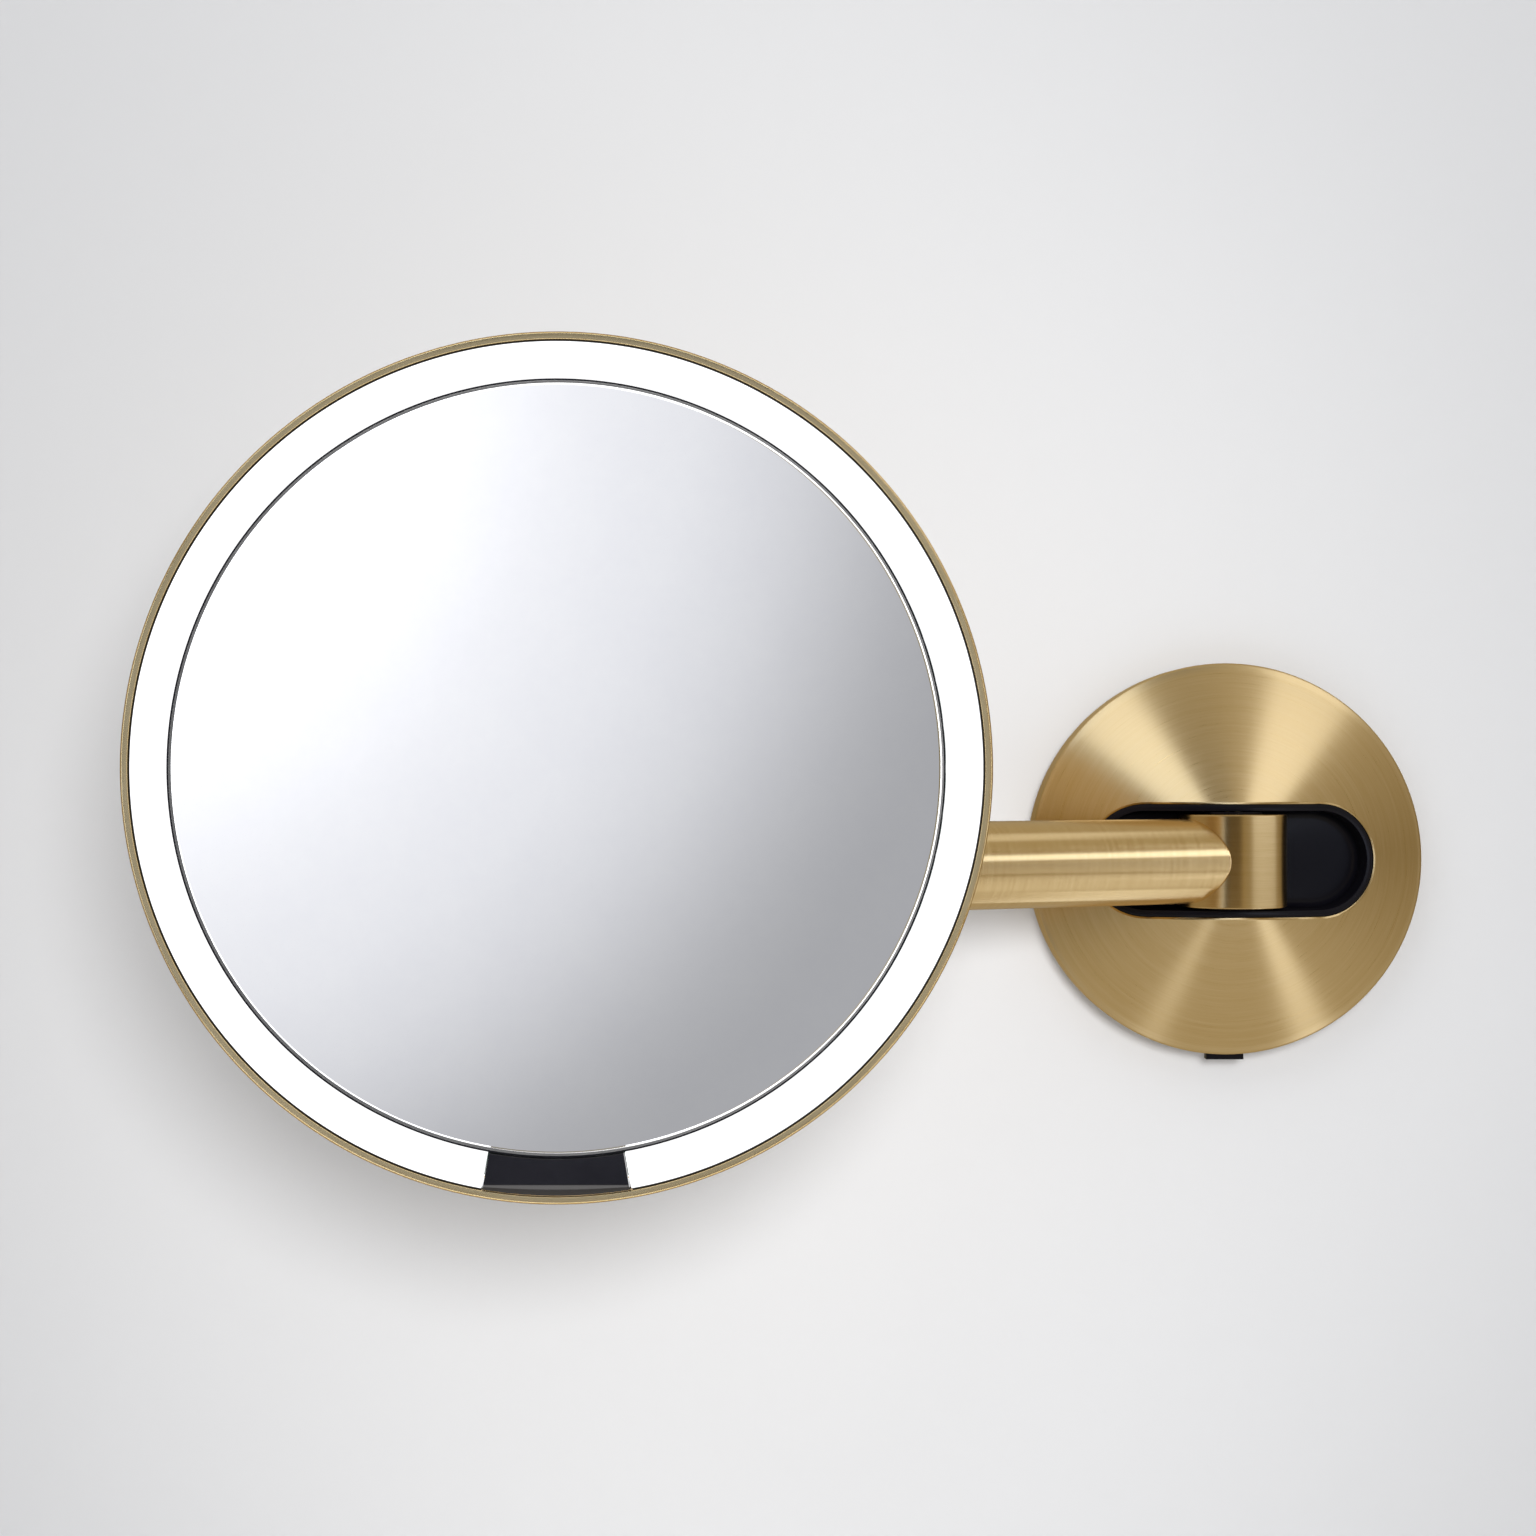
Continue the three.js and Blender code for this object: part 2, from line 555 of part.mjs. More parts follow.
node(arm, "guide_bush", "bush_plastic", slideBush(INNER_TUBE_START + 1));
const knuckleCope = rod("z", KNUCKLE_RADIUS + GAP, -TUBE_RADIUS, TUBE_RADIUS, MEDIUM * 2, [
  ARM_LENGTH,
  0,
]);
const innerBore = INNER_TUBE_RADIUS - INNER_TUBE_WALL;
node(
  arm,
  "inner_tube",
  "brass",
  cut(sleeve("x", innerBore, INNER_TUBE_RADIUS, INNER_TUBE_START, ARM_LENGTH, MEDIUM), knuckleCope),
);
const KNUCKLE_BORE = POST_RADIUS + 2 * GAP + BUSH_WALL;
const knuckle = barrelWithSpigot(
  KNUCKLE_RADIUS,
  KNUCKLE_TOP,
  innerBore - GAP,
  KNUCKLE_RADIUS + SPIGOT_LENGTH,
  KNUCKLE_BORE,
  -1,
);
node(arm, "end_knuckle", "brass", knuckle.translate([ARM_LENGTH, 0, 0]));
hingeBushes(arm, "knuckle_", KNUCKLE_BORE - GAP, POST_RADIUS + GAP, KNUCKLE_TOP, ARM_LENGTH);

// ---------- swivel post: its own frame has the swivel axis upright at the arm's height ----------

const FLANGE_BOTTOM = KNUCKLE_TOP + GAP;
const NUT_TOP = -KNUCKLE_TOP - 1 - 3 * GAP;
const NUT_HEIGHT = 4.5;
const LUG_HALF = POST_RADIUS + 2;

function swivelPost() {
  const lug = join(
    box(wide(LUG_HALF), wide(LUG_RADIUS), [HEAD_RISE - LUG_RADIUS, HEAD_RISE]),
    rod("x", LUG_RADIUS, -LUG_HALF, LUG_HALF, MEDIUM, [0, HEAD_RISE]),
  );
  const flange = rod("z", POST_RADIUS + 4, FLANGE_BOTTOM, FLANGE_BOTTOM + POST_FLANGE, MEDIUM);
  const shank = rod("z", POST_RADIUS, NUT_TOP - NUT_HEIGHT - 1, FLANGE_BOTTOM + 1, NARROW);
  const neck = rod("z", NECK_RADIUS, FLANGE_BOTTOM + 1, HEAD_RISE - LUG_RADIUS + 1, MEDIUM);
  const pinBore = rod("x", TILT_PIN_RADIUS + GAP, -20, 20, NARROW, [0, HEAD_RISE]);
  return cut(join(lug, neck, flange, shank), pinBore);
}

const nut = (axis, radius, bore, from, to) =>
  cut(rod(axis, radius, from, to, 6), rod(axis, bore, from - 1, to + 1, NARROW));

node(swivel, "swivel_post", "brass", swivelPost());
node(
  swivel,
  "post_washer",
  "steel",
  sleeve("z", POST_RADIUS + GAP, POST_RADIUS + 4, NUT_TOP + GAP, -KNUCKLE_TOP - GAP, NARROW),
);
node(
  swivel,
  "post_nut",
  "steel",
  nut("z", POST_RADIUS + 3.2, POST_RADIUS + GAP, NUT_TOP - NUT_HEIGHT, NUT_TOP),
);

// ---------- head: its own frame is on the tilt axis; h is measured back from the glass face ----------

const behind = (h) => h - STANDOFF;
const dish = (profile, sides = WIDE) =>
  turned("y", profile.map(([radius, h]) => [radius, behind(h)]), sides);

// A wedge of the ring at the bottom of the head, with its point at the head's centre.
function bottomWedge(halfAngle) {
  const reach = HEAD_RADIUS * 1.2;
  const x = reach * Math.sin(halfAngle * RADIANS);
  const z = -reach * Math.cos(halfAngle * RADIANS);
  const shape = new THREE.Shape();
  shape.moveTo(0, 0).lineTo(-x, z).lineTo(x, z).closePath();
  return outwards(shape, 0, STANDOFF + 1);
}

// The diffuser's flat front rolls over at its outer edge, where a skirt reaches back.
function lightRing() {
  const skirt = RING_RADIUS - 1.6;
  const ring = dish([
    [RING_BORE, DIFFUSER_FRONT],
    [RING_RADIUS - 2.2, DIFFUSER_FRONT],
    [RING_RADIUS - 0.8, DIFFUSER_FRONT + 0.5],
    [RING_RADIUS, RIM_FRONT + 0.6],
    [RING_RADIUS, CARRIER_FLANGE + 0.7],
    [skirt, CARRIER_FLANGE + 0.7],
    [skirt, DIFFUSER_BACK],
    [RING_BORE, DIFFUSER_BACK],
  ]);
  const gapAngle = GAP / RING_BORE / RADIANS;
  return cut(ring, bottomWedge(WINDOW_HALF_ANGLE + gapAngle));
}

// The window fills the ring's opening, and its lower band slopes back to the rim.
function sensorWindow() {
  const ring = dish([
    [RING_BORE, BEZEL_FRONT],
    [RING_RADIUS, BEZEL_FRONT],
    [RING_RADIUS, DIFFUSER_BACK],
    [RING_BORE, DIFFUSER_BACK],
  ]);
  const slope = new THREE.BoxGeometry(HEAD_RADIUS, 10, 20);
  slope.translate(0, -5, -10).rotateX(-22 * RADIANS);
  slope.translate(0, behind(BEZEL_FRONT), -RING_RADIUS + WINDOW_BAND);
  return cut(ring.intersect(bottomWedge(WINDOW_HALF_ANGLE)), solid(slope));
}

const coverScrewPlaces = [
  [1, 1],
  [-1, 1],
  [-1, -1],
  [1, -1],
].map(([x, z]) => [x * COVER_SCREW_OFFSET, z * COVER_SCREW_OFFSET]);

function mirrorCarrier() {
  const wall = BEZEL_BORE - GAP;
  const flangeRadius = RING_RADIUS - 1.6 - 0.5;
  const lip = GLASS_RADIUS - CARRIER_LIP_WIDTH;
  const back = CARRIER_BACK;
  const plate = dish([
    [0, CARRIER_FRONT],
    [lip, CARRIER_FRONT],
    [lip, CARRIER_LIP_FRONT],
    [wall, CARRIER_LIP_FRONT],
    [wall, CARRIER_FLANGE],
    [flangeRadius, CARRIER_FLANGE],
    [flangeRadius, CARRIER_FLANGE + 1.8],
    [wall - 2, CARRIER_FLANGE + 1.8],
    [wall - 2, back],
    [0, back],
  ]);
  const postEnd = HEAD_DEPTH - COVER_WALL - GAP;
  const posts = coverScrewPlaces.map((at) =>
    rod("y", CARRIER_POST, behind(back - 1), behind(postEnd), NARROW, at),
  );
  const pilots = coverScrewPlaces.map((at) =>
    rod("y", PILOT_HOLE, behind(back + 1), behind(postEnd + 1), NARROW, at),
  );
  return cut(join(plate, ...posts), ...pilots);
}

function rearCover() {
  const side = HEAD_RADIUS - 0.5;
  const spigotOut = RIM_BORE - GAP;
  const spigotIn = spigotOut - 1.8;
  const inner = HEAD_DEPTH - COVER_WALL;
  const fillet = [0, 30, 60, 90].map((angle) => [
    side - COVER_FILLET * (1 - Math.sin(angle * RADIANS)),
    HEAD_DEPTH - COVER_FILLET * (1 - Math.cos(angle * RADIANS)),
  ]);
  const shell = dish([
    [0, HEAD_DEPTH],
    ...fillet,
    [side, RIM_BACK + GAP],
    [spigotOut, RIM_BACK + GAP],
    [spigotOut, CARRIER_FLANGE + 1],
    [spigotIn, CARRIER_FLANGE + 1],
    [spigotIn, inner - 3],
    [spigotIn - 4, inner],
    [0, inner],
  ]);
  const through = [behind(inner - 1), behind(HEAD_DEPTH + 1)];
  const holes = [
    ...coverScrewPlaces.map((at) => rod("y", CLEAR_HOLE, ...through, NARROW, at)),
    ...[-1, 1].map((s) => rod("y", CLEAR_HOLE, ...through, NARROW, [0, s * HUB_SCREW_OFFSET])),
    opening(PORT.x, SOCKETS_Z, PORT.width, PORT.height, through),
    opening(
      SWITCH.x + SWITCH.travel / 2,
      SOCKETS_Z,
      SWITCH.width + SWITCH.travel,
      SWITCH.height,
      through,
    ),
  ];
  return cut(shell, ...holes);
}

// A rectangular opening with the usual gap round what goes through it.
const opening = (x, z, width, height, through) =>
  box(
    [x - width / 2 - 2 * GAP, x + width / 2 + 2 * GAP],
    through,
    [z - height / 2 - GAP, z + height / 2 + GAP],
  );

function hubBracket() {
  const back = HEAD_DEPTH + GAP;
  const disc = rod("y", HUB_RADIUS, behind(back), behind(back + HUB_DISC), MEDIUM);
  const inside = LUG_HALF + DISC_WALL + 2 * GAP;
  const ears = [-1, 1].flatMap((side) => {
    const span = [side * inside, side * (inside + EAR_WALL)].sort((a, b) => a - b);
    return [
      box(span, [behind(back + HUB_DISC - 0.5), 0], wide(LUG_RADIUS)),
      rod("x", LUG_RADIUS, ...span, MEDIUM),
    ];
  });
  const holes = [
    rod("x", TILT_PIN_RADIUS + GAP, -HUB_RADIUS, HUB_RADIUS, NARROW),
    ...[-1, 1].map((s) => rod("y", CLEAR_HOLE, behind(0), 0, NARROW, [0, s * HUB_SCREW_OFFSET])),
  ];
  return cut(join(disc, ...ears), ...holes);
}

const EAR_OUT = LUG_HALF + DISC_WALL + 2 * GAP + EAR_WALL;

function tiltPin() {
  const end = EAR_OUT + GAP + 4 + 0.6;
  const pin = rod("x", TILT_PIN_RADIUS, -EAR_OUT - 1, end, NARROW);
  const cap = rod("x", TILT_PIN_RADIUS + 2, -EAR_OUT - GAP - 2.2, -EAR_OUT - GAP, NARROW);
  return join(pin, cap);
}

function chargeSocket() {
  const ends = [behind(BOARD.h + BOARD.sheet + GAP), behind(HEAD_DEPTH - 0.3)];
  const across = (clear) => [PORT.x - PORT.width / 2 + clear, PORT.x + PORT.width / 2 - clear];
  const up = (clear) => [SOCKETS_Z - PORT.height / 2 + clear, SOCKETS_Z + PORT.height / 2 - clear];
  const mouthDepth = (ends[1] - ends[0]) * PORT_MOUTH;
  const mouth = box(across(PORT_WALL), [ends[1] - mouthDepth, ends[1] + 1], up(PORT_WALL));
  return cut(box(across(0), ends, up(0)), mouth);
}

function switchSlider() {
  const across = [SWITCH.x - SWITCH.width / 2, SWITCH.x + SWITCH.width / 2];
  const up = [SOCKETS_Z - SWITCH.height / 2, SOCKETS_Z + SWITCH.height / 2];
  const front = behind(BOARD.h + BOARD.sheet + GAP);
  return box(across, [front, behind(HEAD_DEPTH + SWITCH.proud)], up);
}

node(head, "mirror_glass", "mirror", dish([
  [0, 0],
  [GLASS_RADIUS - 1.2, 0],
  [GLASS_RADIUS, 0.6],
  [GLASS_RADIUS, GLASS_THICKNESS],
  [0, GLASS_THICKNESS],
]));
const backing = [behind(GLASS_THICKNESS + GAP), behind(CARRIER_FRONT - GAP)];
node(head, "mirror_backing", "foam", rod("y", GLASS_RADIUS - 4, ...backing, MEDIUM));
node(head, "mirror_carrier", "white_plastic", mirrorCarrier());
node(head, "glass_bezel", "black_plastic", dish([
  [BEZEL_BORE, BEZEL_FRONT],
  [BEZEL_RADIUS, BEZEL_FRONT],
  [BEZEL_RADIUS, CARRIER_FLANGE - GAP],
  [BEZEL_BORE, CARRIER_FLANGE - GAP],
]));
node(head, "light_ring", "diffuser", lightRing());
node(head, "led_board", "circuit_board", dish([
  [RING_BORE + 0.4, LED_BOARD_FRONT],
  [RING_RADIUS - 2.6, LED_BOARD_FRONT],
  [RING_RADIUS - 2.6, CARRIER_FLANGE - GAP],
  [RING_BORE + 0.4, CARRIER_FLANGE - GAP],
], MEDIUM * 2));
node(head, "sensor_window", "black_gloss", sensorWindow());
const sensorTop = -RING_BORE - 2;
node(head, "sensor_board", "circuit_board", box(
  wide(12),
  [behind(DIFFUSER_BACK + 0.2 * ROOM_FOR_SENSOR), behind(DIFFUSER_BACK + 0.4 * ROOM_FOR_SENSOR)],
  [sensorTop - 5, sensorTop],
));
node(head, "rim_ring", "brass", dish([
  [RIM_BORE, RIM_FRONT + RIM_CHAMFER],
  [RIM_BORE + RIM_CHAMFER, RIM_FRONT],
  [HEAD_RADIUS - RIM_CHAMFER, RIM_FRONT],
  [HEAD_RADIUS, RIM_FRONT + RIM_CHAMFER],
  [HEAD_RADIUS, RIM_BACK],
  [RIM_BORE, RIM_BACK],
]));
node(head, "rear_cover", "brass", rearCover());
node(head, "battery_pack", "battery", box(
  wide(BATTERY.width / 2),
  [behind(CARRIER_BACK + GAP), behind(BATTERY_BACK)],
  [BATTERY_BOTTOM, BATTERY_BOTTOM + BATTERY.height],
));
node(head, "control_board", "circuit_board", box(
  wide(BOARD.width / 2),
  [behind(BOARD.h), behind(BOARD.h + BOARD.sheet)],
  [BOARD_BOTTOM, BOARD_TOP],
));
node(head, "charge_socket", "steel", chargeSocket());
node(head, "power_switch", "black_plastic", switchSlider());
coverScrewPlaces.forEach((place, i) => {
  const screw = panScrew(place, behind(HEAD_DEPTH + GAP), -1, COVER_SCREW);
  node(head, `cover_screw_${i + 1}`, "steel", screw);
});
const hubPlateBack = HEAD_DEPTH - COVER_WALL - 2 * GAP;
node(head, "hub_plate", "steel", cut(
  rod("y", HUB_PLATE_RADIUS, behind(hubPlateBack - 2.5), behind(hubPlateBack), MEDIUM),
  ...[-1, 1].map((s) => rod("y", PILOT_HOLE, behind(0), 0, NARROW, [0, s * HUB_SCREW_OFFSET])),
));
node(head, "hub_bracket", "brass", hubBracket());
[1, -1].forEach((side, i) => {
  const place = [0, side * HUB_SCREW_OFFSET];
  const seat = behind(HEAD_DEPTH + 2 * GAP + HUB_DISC);
  node(head, `hub_screw_${i + 1}`, "steel", panScrew(place, seat, -1, HUB_SCREW));
});
node(head, "tilt_pin", "steel", tiltPin());
const tiltNutStart = EAR_OUT + GAP;
const tiltBore = TILT_PIN_RADIUS + GAP;
node(head, "tilt_nut", "steel", nut("x", 5.2, tiltBore, tiltNutStart, tiltNutStart + 4));
for (const [name, side] of [["left", -1], ["right", 1]]) {
  const ends = [side * (LUG_HALF + GAP), side * (LUG_HALF + GAP + DISC_WALL)].sort((a, b) => a - b);
  const disc = sleeve("x", tiltBore, LUG_RADIUS - 1, ...ends, NARROW);
  node(head, `${name}_friction_disc`, "bush_plastic", disc);
}

export default mirror;
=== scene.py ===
import json
from math import atan2, cos, pi, radians, sin, sqrt, tan

import bmesh
import bpy
from mathutils import Matrix, Vector

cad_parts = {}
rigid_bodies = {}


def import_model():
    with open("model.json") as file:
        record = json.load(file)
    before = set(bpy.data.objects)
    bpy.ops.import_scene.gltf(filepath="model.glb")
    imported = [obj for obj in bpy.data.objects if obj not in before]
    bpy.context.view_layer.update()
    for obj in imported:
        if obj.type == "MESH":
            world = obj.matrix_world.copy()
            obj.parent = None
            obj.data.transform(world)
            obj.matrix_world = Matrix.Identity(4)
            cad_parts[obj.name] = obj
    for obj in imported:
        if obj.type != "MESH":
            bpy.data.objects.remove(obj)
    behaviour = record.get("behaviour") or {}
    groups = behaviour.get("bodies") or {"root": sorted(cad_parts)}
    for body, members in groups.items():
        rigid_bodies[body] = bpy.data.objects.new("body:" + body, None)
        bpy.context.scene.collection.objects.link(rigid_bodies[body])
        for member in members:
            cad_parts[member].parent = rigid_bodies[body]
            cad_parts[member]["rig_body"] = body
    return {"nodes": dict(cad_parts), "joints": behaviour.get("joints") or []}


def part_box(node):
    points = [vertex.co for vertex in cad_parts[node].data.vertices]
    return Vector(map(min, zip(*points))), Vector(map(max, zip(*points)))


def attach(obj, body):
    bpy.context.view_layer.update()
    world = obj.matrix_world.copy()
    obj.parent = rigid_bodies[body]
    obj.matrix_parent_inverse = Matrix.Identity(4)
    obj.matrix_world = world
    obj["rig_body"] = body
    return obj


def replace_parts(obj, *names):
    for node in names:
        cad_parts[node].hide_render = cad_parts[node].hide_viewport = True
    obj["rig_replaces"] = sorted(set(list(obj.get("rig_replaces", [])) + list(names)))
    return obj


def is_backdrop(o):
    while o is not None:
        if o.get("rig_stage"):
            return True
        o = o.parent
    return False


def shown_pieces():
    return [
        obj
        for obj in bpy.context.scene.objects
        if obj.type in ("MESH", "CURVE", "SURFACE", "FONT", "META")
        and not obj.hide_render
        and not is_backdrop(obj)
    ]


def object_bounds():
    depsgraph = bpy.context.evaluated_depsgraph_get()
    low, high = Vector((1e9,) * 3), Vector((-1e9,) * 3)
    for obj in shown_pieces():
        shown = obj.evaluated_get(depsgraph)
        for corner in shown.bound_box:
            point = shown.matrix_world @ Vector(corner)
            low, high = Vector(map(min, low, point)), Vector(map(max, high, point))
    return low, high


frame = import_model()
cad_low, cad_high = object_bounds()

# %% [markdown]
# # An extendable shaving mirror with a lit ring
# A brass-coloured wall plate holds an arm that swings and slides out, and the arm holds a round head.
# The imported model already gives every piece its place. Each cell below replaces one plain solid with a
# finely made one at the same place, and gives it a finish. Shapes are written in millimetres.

MM = 0.001
UP = Vector((0, 0, 1))
ROOM = Vector((0, -1, 0))
joints = {joint["name"]: joint for joint in frame["joints"]}
barrel_axis = Vector(joints["arm_swing"]["pos_m"])
swivel_axis = Vector(joints["head_swivel"]["pos_m"])
tilt_axis = Vector(joints["head_tilt"]["pos_m"])
arm_direction = Vector(joints["arm_extend"]["axis"]).normalized()
glass_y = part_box("mirror_glass")[0].y


def size_mm(node):
    low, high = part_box(node)
    return (high - low) / MM


def centre(node):
    low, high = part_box(node)
    return (low + high) / 2


def depths_mm(node):
    """How far a node's front and back are behind the front of the glass, in millimetres."""
    low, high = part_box(node)
    return (low.y - glass_y) / MM, (high.y - glass_y) / MM


def reach_mm(node, origin, direction):
    """How far a node starts and ends from a point along a direction, in millimetres."""
    along = [(v.co - origin).dot(direction) / MM for v in frame["nodes"][node].data.vertices]
    return min(along), max(along)


def standing(origin, x_axis, z_axis):
    """A local frame at a point, from two of its axes."""
    x_axis, z_axis = Vector(x_axis).normalized(), Vector(z_axis).normalized()
    y_axis = z_axis.cross(x_axis)
    turn = Matrix((x_axis, y_axis, z_axis)).transposed().to_4x4()
    return Matrix.Translation(origin) @ turn


BASE = standing((barrel_axis.x, 0, barrel_axis.z), (1, 0, 0), ROOM)
BARREL = standing(barrel_axis, (1, 0, 0), UP)
ARM = standing(barrel_axis, UP, arm_direction)
SWIVEL = standing(swivel_axis, (1, 0, 0), UP)
HEAD = standing((tilt_axis.x, glass_y, tilt_axis.z), (1, 0, 0), ROOM)
AXIS_OUT = -barrel_axis.y / MM
print("arm", round(AXIS_OUT, 2), "mm out from the wall, head centre", tilt_axis)

# %% [markdown]
# ## Camera
# The camera stands level with the middle of the head and looks straight at the wall. It is a little to
# the right of the head, because the whole object, plate and head, is in the view.

# %% The camera
CAMERA_RIGHT_OF_HEAD = 55.46
CAMERA_FROM_GLASS = 668.6


def add_object(name, data):
    made = bpy.data.objects.new(name, data)
    bpy.context.scene.collection.objects.link(made)
    return made


camera_data = bpy.data.cameras.new("camera")
camera_data.lens = 60
camera_data.sensor_width = 36
camera = add_object("camera", camera_data)
camera.location = (
    tilt_axis.x + CAMERA_RIGHT_OF_HEAD * MM,
    glass_y - CAMERA_FROM_GLASS * MM,
    tilt_axis.z,
)
camera.rotation_euler = (radians(90), 0, 0)
bpy.context.scene.camera = camera
print("camera at", camera.location)

# %% [markdown]
# ## Mesh helpers
# Nearly every piece of this mirror was turned, spun or drawn, so one helper bridges rings of points into
# a skin. Another rounds the corners of a profile, because a real edge is never quite sharp and catches a
# thin line of light.

# %% A skin over rings of points
SHARP = radians(34)


def mark_sharp(bm):
    bmesh.ops.recalc_face_normals(bm, faces=bm.faces)
    for face in bm.faces:
        face.smooth = True
    for edge in bm.edges:
        edge.smooth = edge.calc_face_angle(0) < SHARP


def to_object(name, bm, place):
    mark_sharp(bm)
    mesh = bpy.data.meshes.new(name)
    bm.to_mesh(mesh)
    bm.free()
    made = add_object(name, mesh)
    made.matrix_world = place
    return made


def skin(rings, round_ring=True, closed=True):
    """Quads between neighbouring rings of (x, y, z) in millimetres; closed joins the last to the first."""
    bm = bmesh.new()
    rows = [[bm.verts.new(Vector(point) * MM) for point in ring] for ring in rings]
    pairs = list(zip(rows, rows[1:] + rows[:1])) if closed else list(zip(rows, rows[1:]))
    count = len(rows[0])
    for first, second in pairs:
        for i in range(count if round_ring else count - 1):
            j = (i + 1) % count
            bm.faces.new((first[i], first[j], second[j], second[i]))
    bmesh.ops.remove_doubles(bm, verts=bm.verts, dist=1e-7)
    return bm


# %% Rounded corners and turned pieces
def rounded(corners, steps=4):
    """A closed outline of (a, b, radius) corners as (a, b) points, each corner rounded by its radius."""
    points = []
    count = len(corners)
    for i, (a, b, radius) in enumerate(corners):
        here = Vector((a, b))
        if radius == 0:
            points.append((a, b))
            continue
        before = Vector(corners[i - 1][:2]) - here
        after = Vector(corners[(i + 1) % count][:2]) - here
        reach = radius / tan(before.angle(after) / 2)
        start, end = here + before.normalized() * reach, here + after.normalized() * reach
        for step in range(steps + 1):
            t = step / steps
            points.append(tuple((1 - t) ** 2 * start + 2 * t * (1 - t) * here + t * t * end))
    return points


def polar(radius, angle, along):
    return radius * cos(angle), radius * sin(angle), along


def circle(radius, along, sides, first=0.0, last=2 * pi):
    whole = abs(last - first - 2 * pi) < 1e-6
    count = sides if whole else sides + 1
    return [polar(radius, first + (last - first) * i / sides, along) for i in range(count)]


SIDES = 192


def turned(name, profile, place, sides=SIDES):
    """A closed profile of (radius, along) points turned about the local Z axis."""
    return to_object(name, skin([circle(r, z, sides) for r, z in profile]), place)


# %% Cutting and joining solids
def baked(made):
    """Applies a piece's modifiers and marks its sharp edges again."""
    bpy.context.view_layer.update()
    evaluated = made.evaluated_get(bpy.context.evaluated_depsgraph_get())
    bm = bmesh.new()
    bm.from_mesh(evaluated.to_mesh())
    evaluated.to_mesh_clear()
    made.modifiers.clear()
    mark_sharp(bm)
    bm.to_mesh(made.data)
    bm.free()
    return made


def boolean(made, others, operation):
    for other in others:
        step = made.modifiers.new(operation.lower(), "BOOLEAN")
        step.operation, step.solver, step.object = operation, "EXACT", other
    baked(made)
    for other in others:
        bpy.data.objects.remove(other)
    return made


BEVEL_STEPS = 3
BEVELLED_FROM = radians(40)


def bevelled(made, width):
    edge = made.modifiers.new("rounded edges", "BEVEL")
    edge.width, edge.segments = width * MM, BEVEL_STEPS
    edge.limit_method, edge.angle_limit = "ANGLE", BEVELLED_FROM
    return baked(made)


def prism(name, outline, start, end, place):
    """A straight extrusion along local Z of a closed outline of (x, y) points."""
    bm = skin([[(x, y, z) for x, y in outline] for z in (start, end)], closed=False)
    middle_x, middle_y = (sum(values) / len(outline) * MM for values in zip(*outline))
    for z in (start, end):
        ring = [v for v in bm.verts if abs(v.co.z - z * MM) < 1e-7]
        ring.sort(key=lambda v: atan2(v.co.y - middle_y, v.co.x - middle_x))
        bm.faces.new(ring)
    return to_object(name, bm, place)


def half_circle(radius, side=1):
    """Points from (radius, 0) round to (-radius, 0), on one side of the x axis."""
    return [(radius * cos(pi * i / 28), side * radius * sin(pi * i / 28)) for i in range(29)]


def block(name, x, y, z, radius, place):
    """A box from three (low, high) ranges, with the four edges along local Z rounded."""
    corners = [(x[0], y[0], radius), (x[1], y[0], radius), (x[1], y[1], radius), (x[0], y[1], radius)]
    return prism(name, rounded(corners), z[0], z[1], place)


# %% [markdown]
# ## Finishes
# Turned brass carries fine marks that run round its axis. The marks are a noise squeezed across the
# strokes and stretched along them, and they feed colour, roughness and a very small bump. The wide soft
# streaks of light come from the shader's own anisotropy, with its tangent turned across the strokes.

# %% Small helpers for shader nodes
def feed(tree, socket, value):
    if isinstance(value, bpy.types.NodeSocket):
        tree.links.new(value, socket)
    else:
        socket.default_value = value


def add_node(tree, kind, inputs=None, **settings):
    made = tree.nodes.new(kind)
    for name, value in settings.items():
        setattr(made, name, value)
    for socket, value in (inputs or {}).items():
        feed(tree, made.inputs[socket], value)
    return made


def calculate(tree, operation, first, second=0.0, clamp=False):
    inputs = {0: first, 1: second}
    return add_node(tree, "ShaderNodeMath", inputs, operation=operation, use_clamp=clamp).outputs[0]


def place_on_piece(tree):
    return add_node(tree, "ShaderNodeTexCoord").outputs["Object"]


def apart(tree, vector):
    """The three parts of a vector."""
    return add_node(tree, "ShaderNodeSeparateXYZ", {0: vector}).outputs


def distance_from_axis(tree, x, y):
    squares = [calculate(tree, "MULTIPLY", value, value) for value in (x, y)]
    return calculate(tree, "SQRT", calculate(tree, "ADD", *squares))


def share_of(tree, first, second, share):
    """A mix of two values, with a share of the second."""
    kept = calculate(tree, "MULTIPLY", first, 1 - share)
    return calculate(tree, "ADD", kept, calculate(tree, "MULTIPLY", second, share))


def between(tree, low, high, factor):
    span = calculate(tree, "SUBTRACT", high, low)
    return calculate(tree, "ADD", low, calculate(tree, "MULTIPLY", span, factor))


def blend_colours(tree, factor, first, second):
    return add_node(tree, "ShaderNodeMix", {0: factor, 6: first, 7: second}, data_type="RGBA").outputs[2]


def noise(tree, vector, scale, detail, roughness):
    inputs = {"Vector": vector, "Scale": scale, "Detail": detail, "Roughness": roughness}
    return add_node(tree, "ShaderNodeTexNoise", inputs).outputs["Fac"]


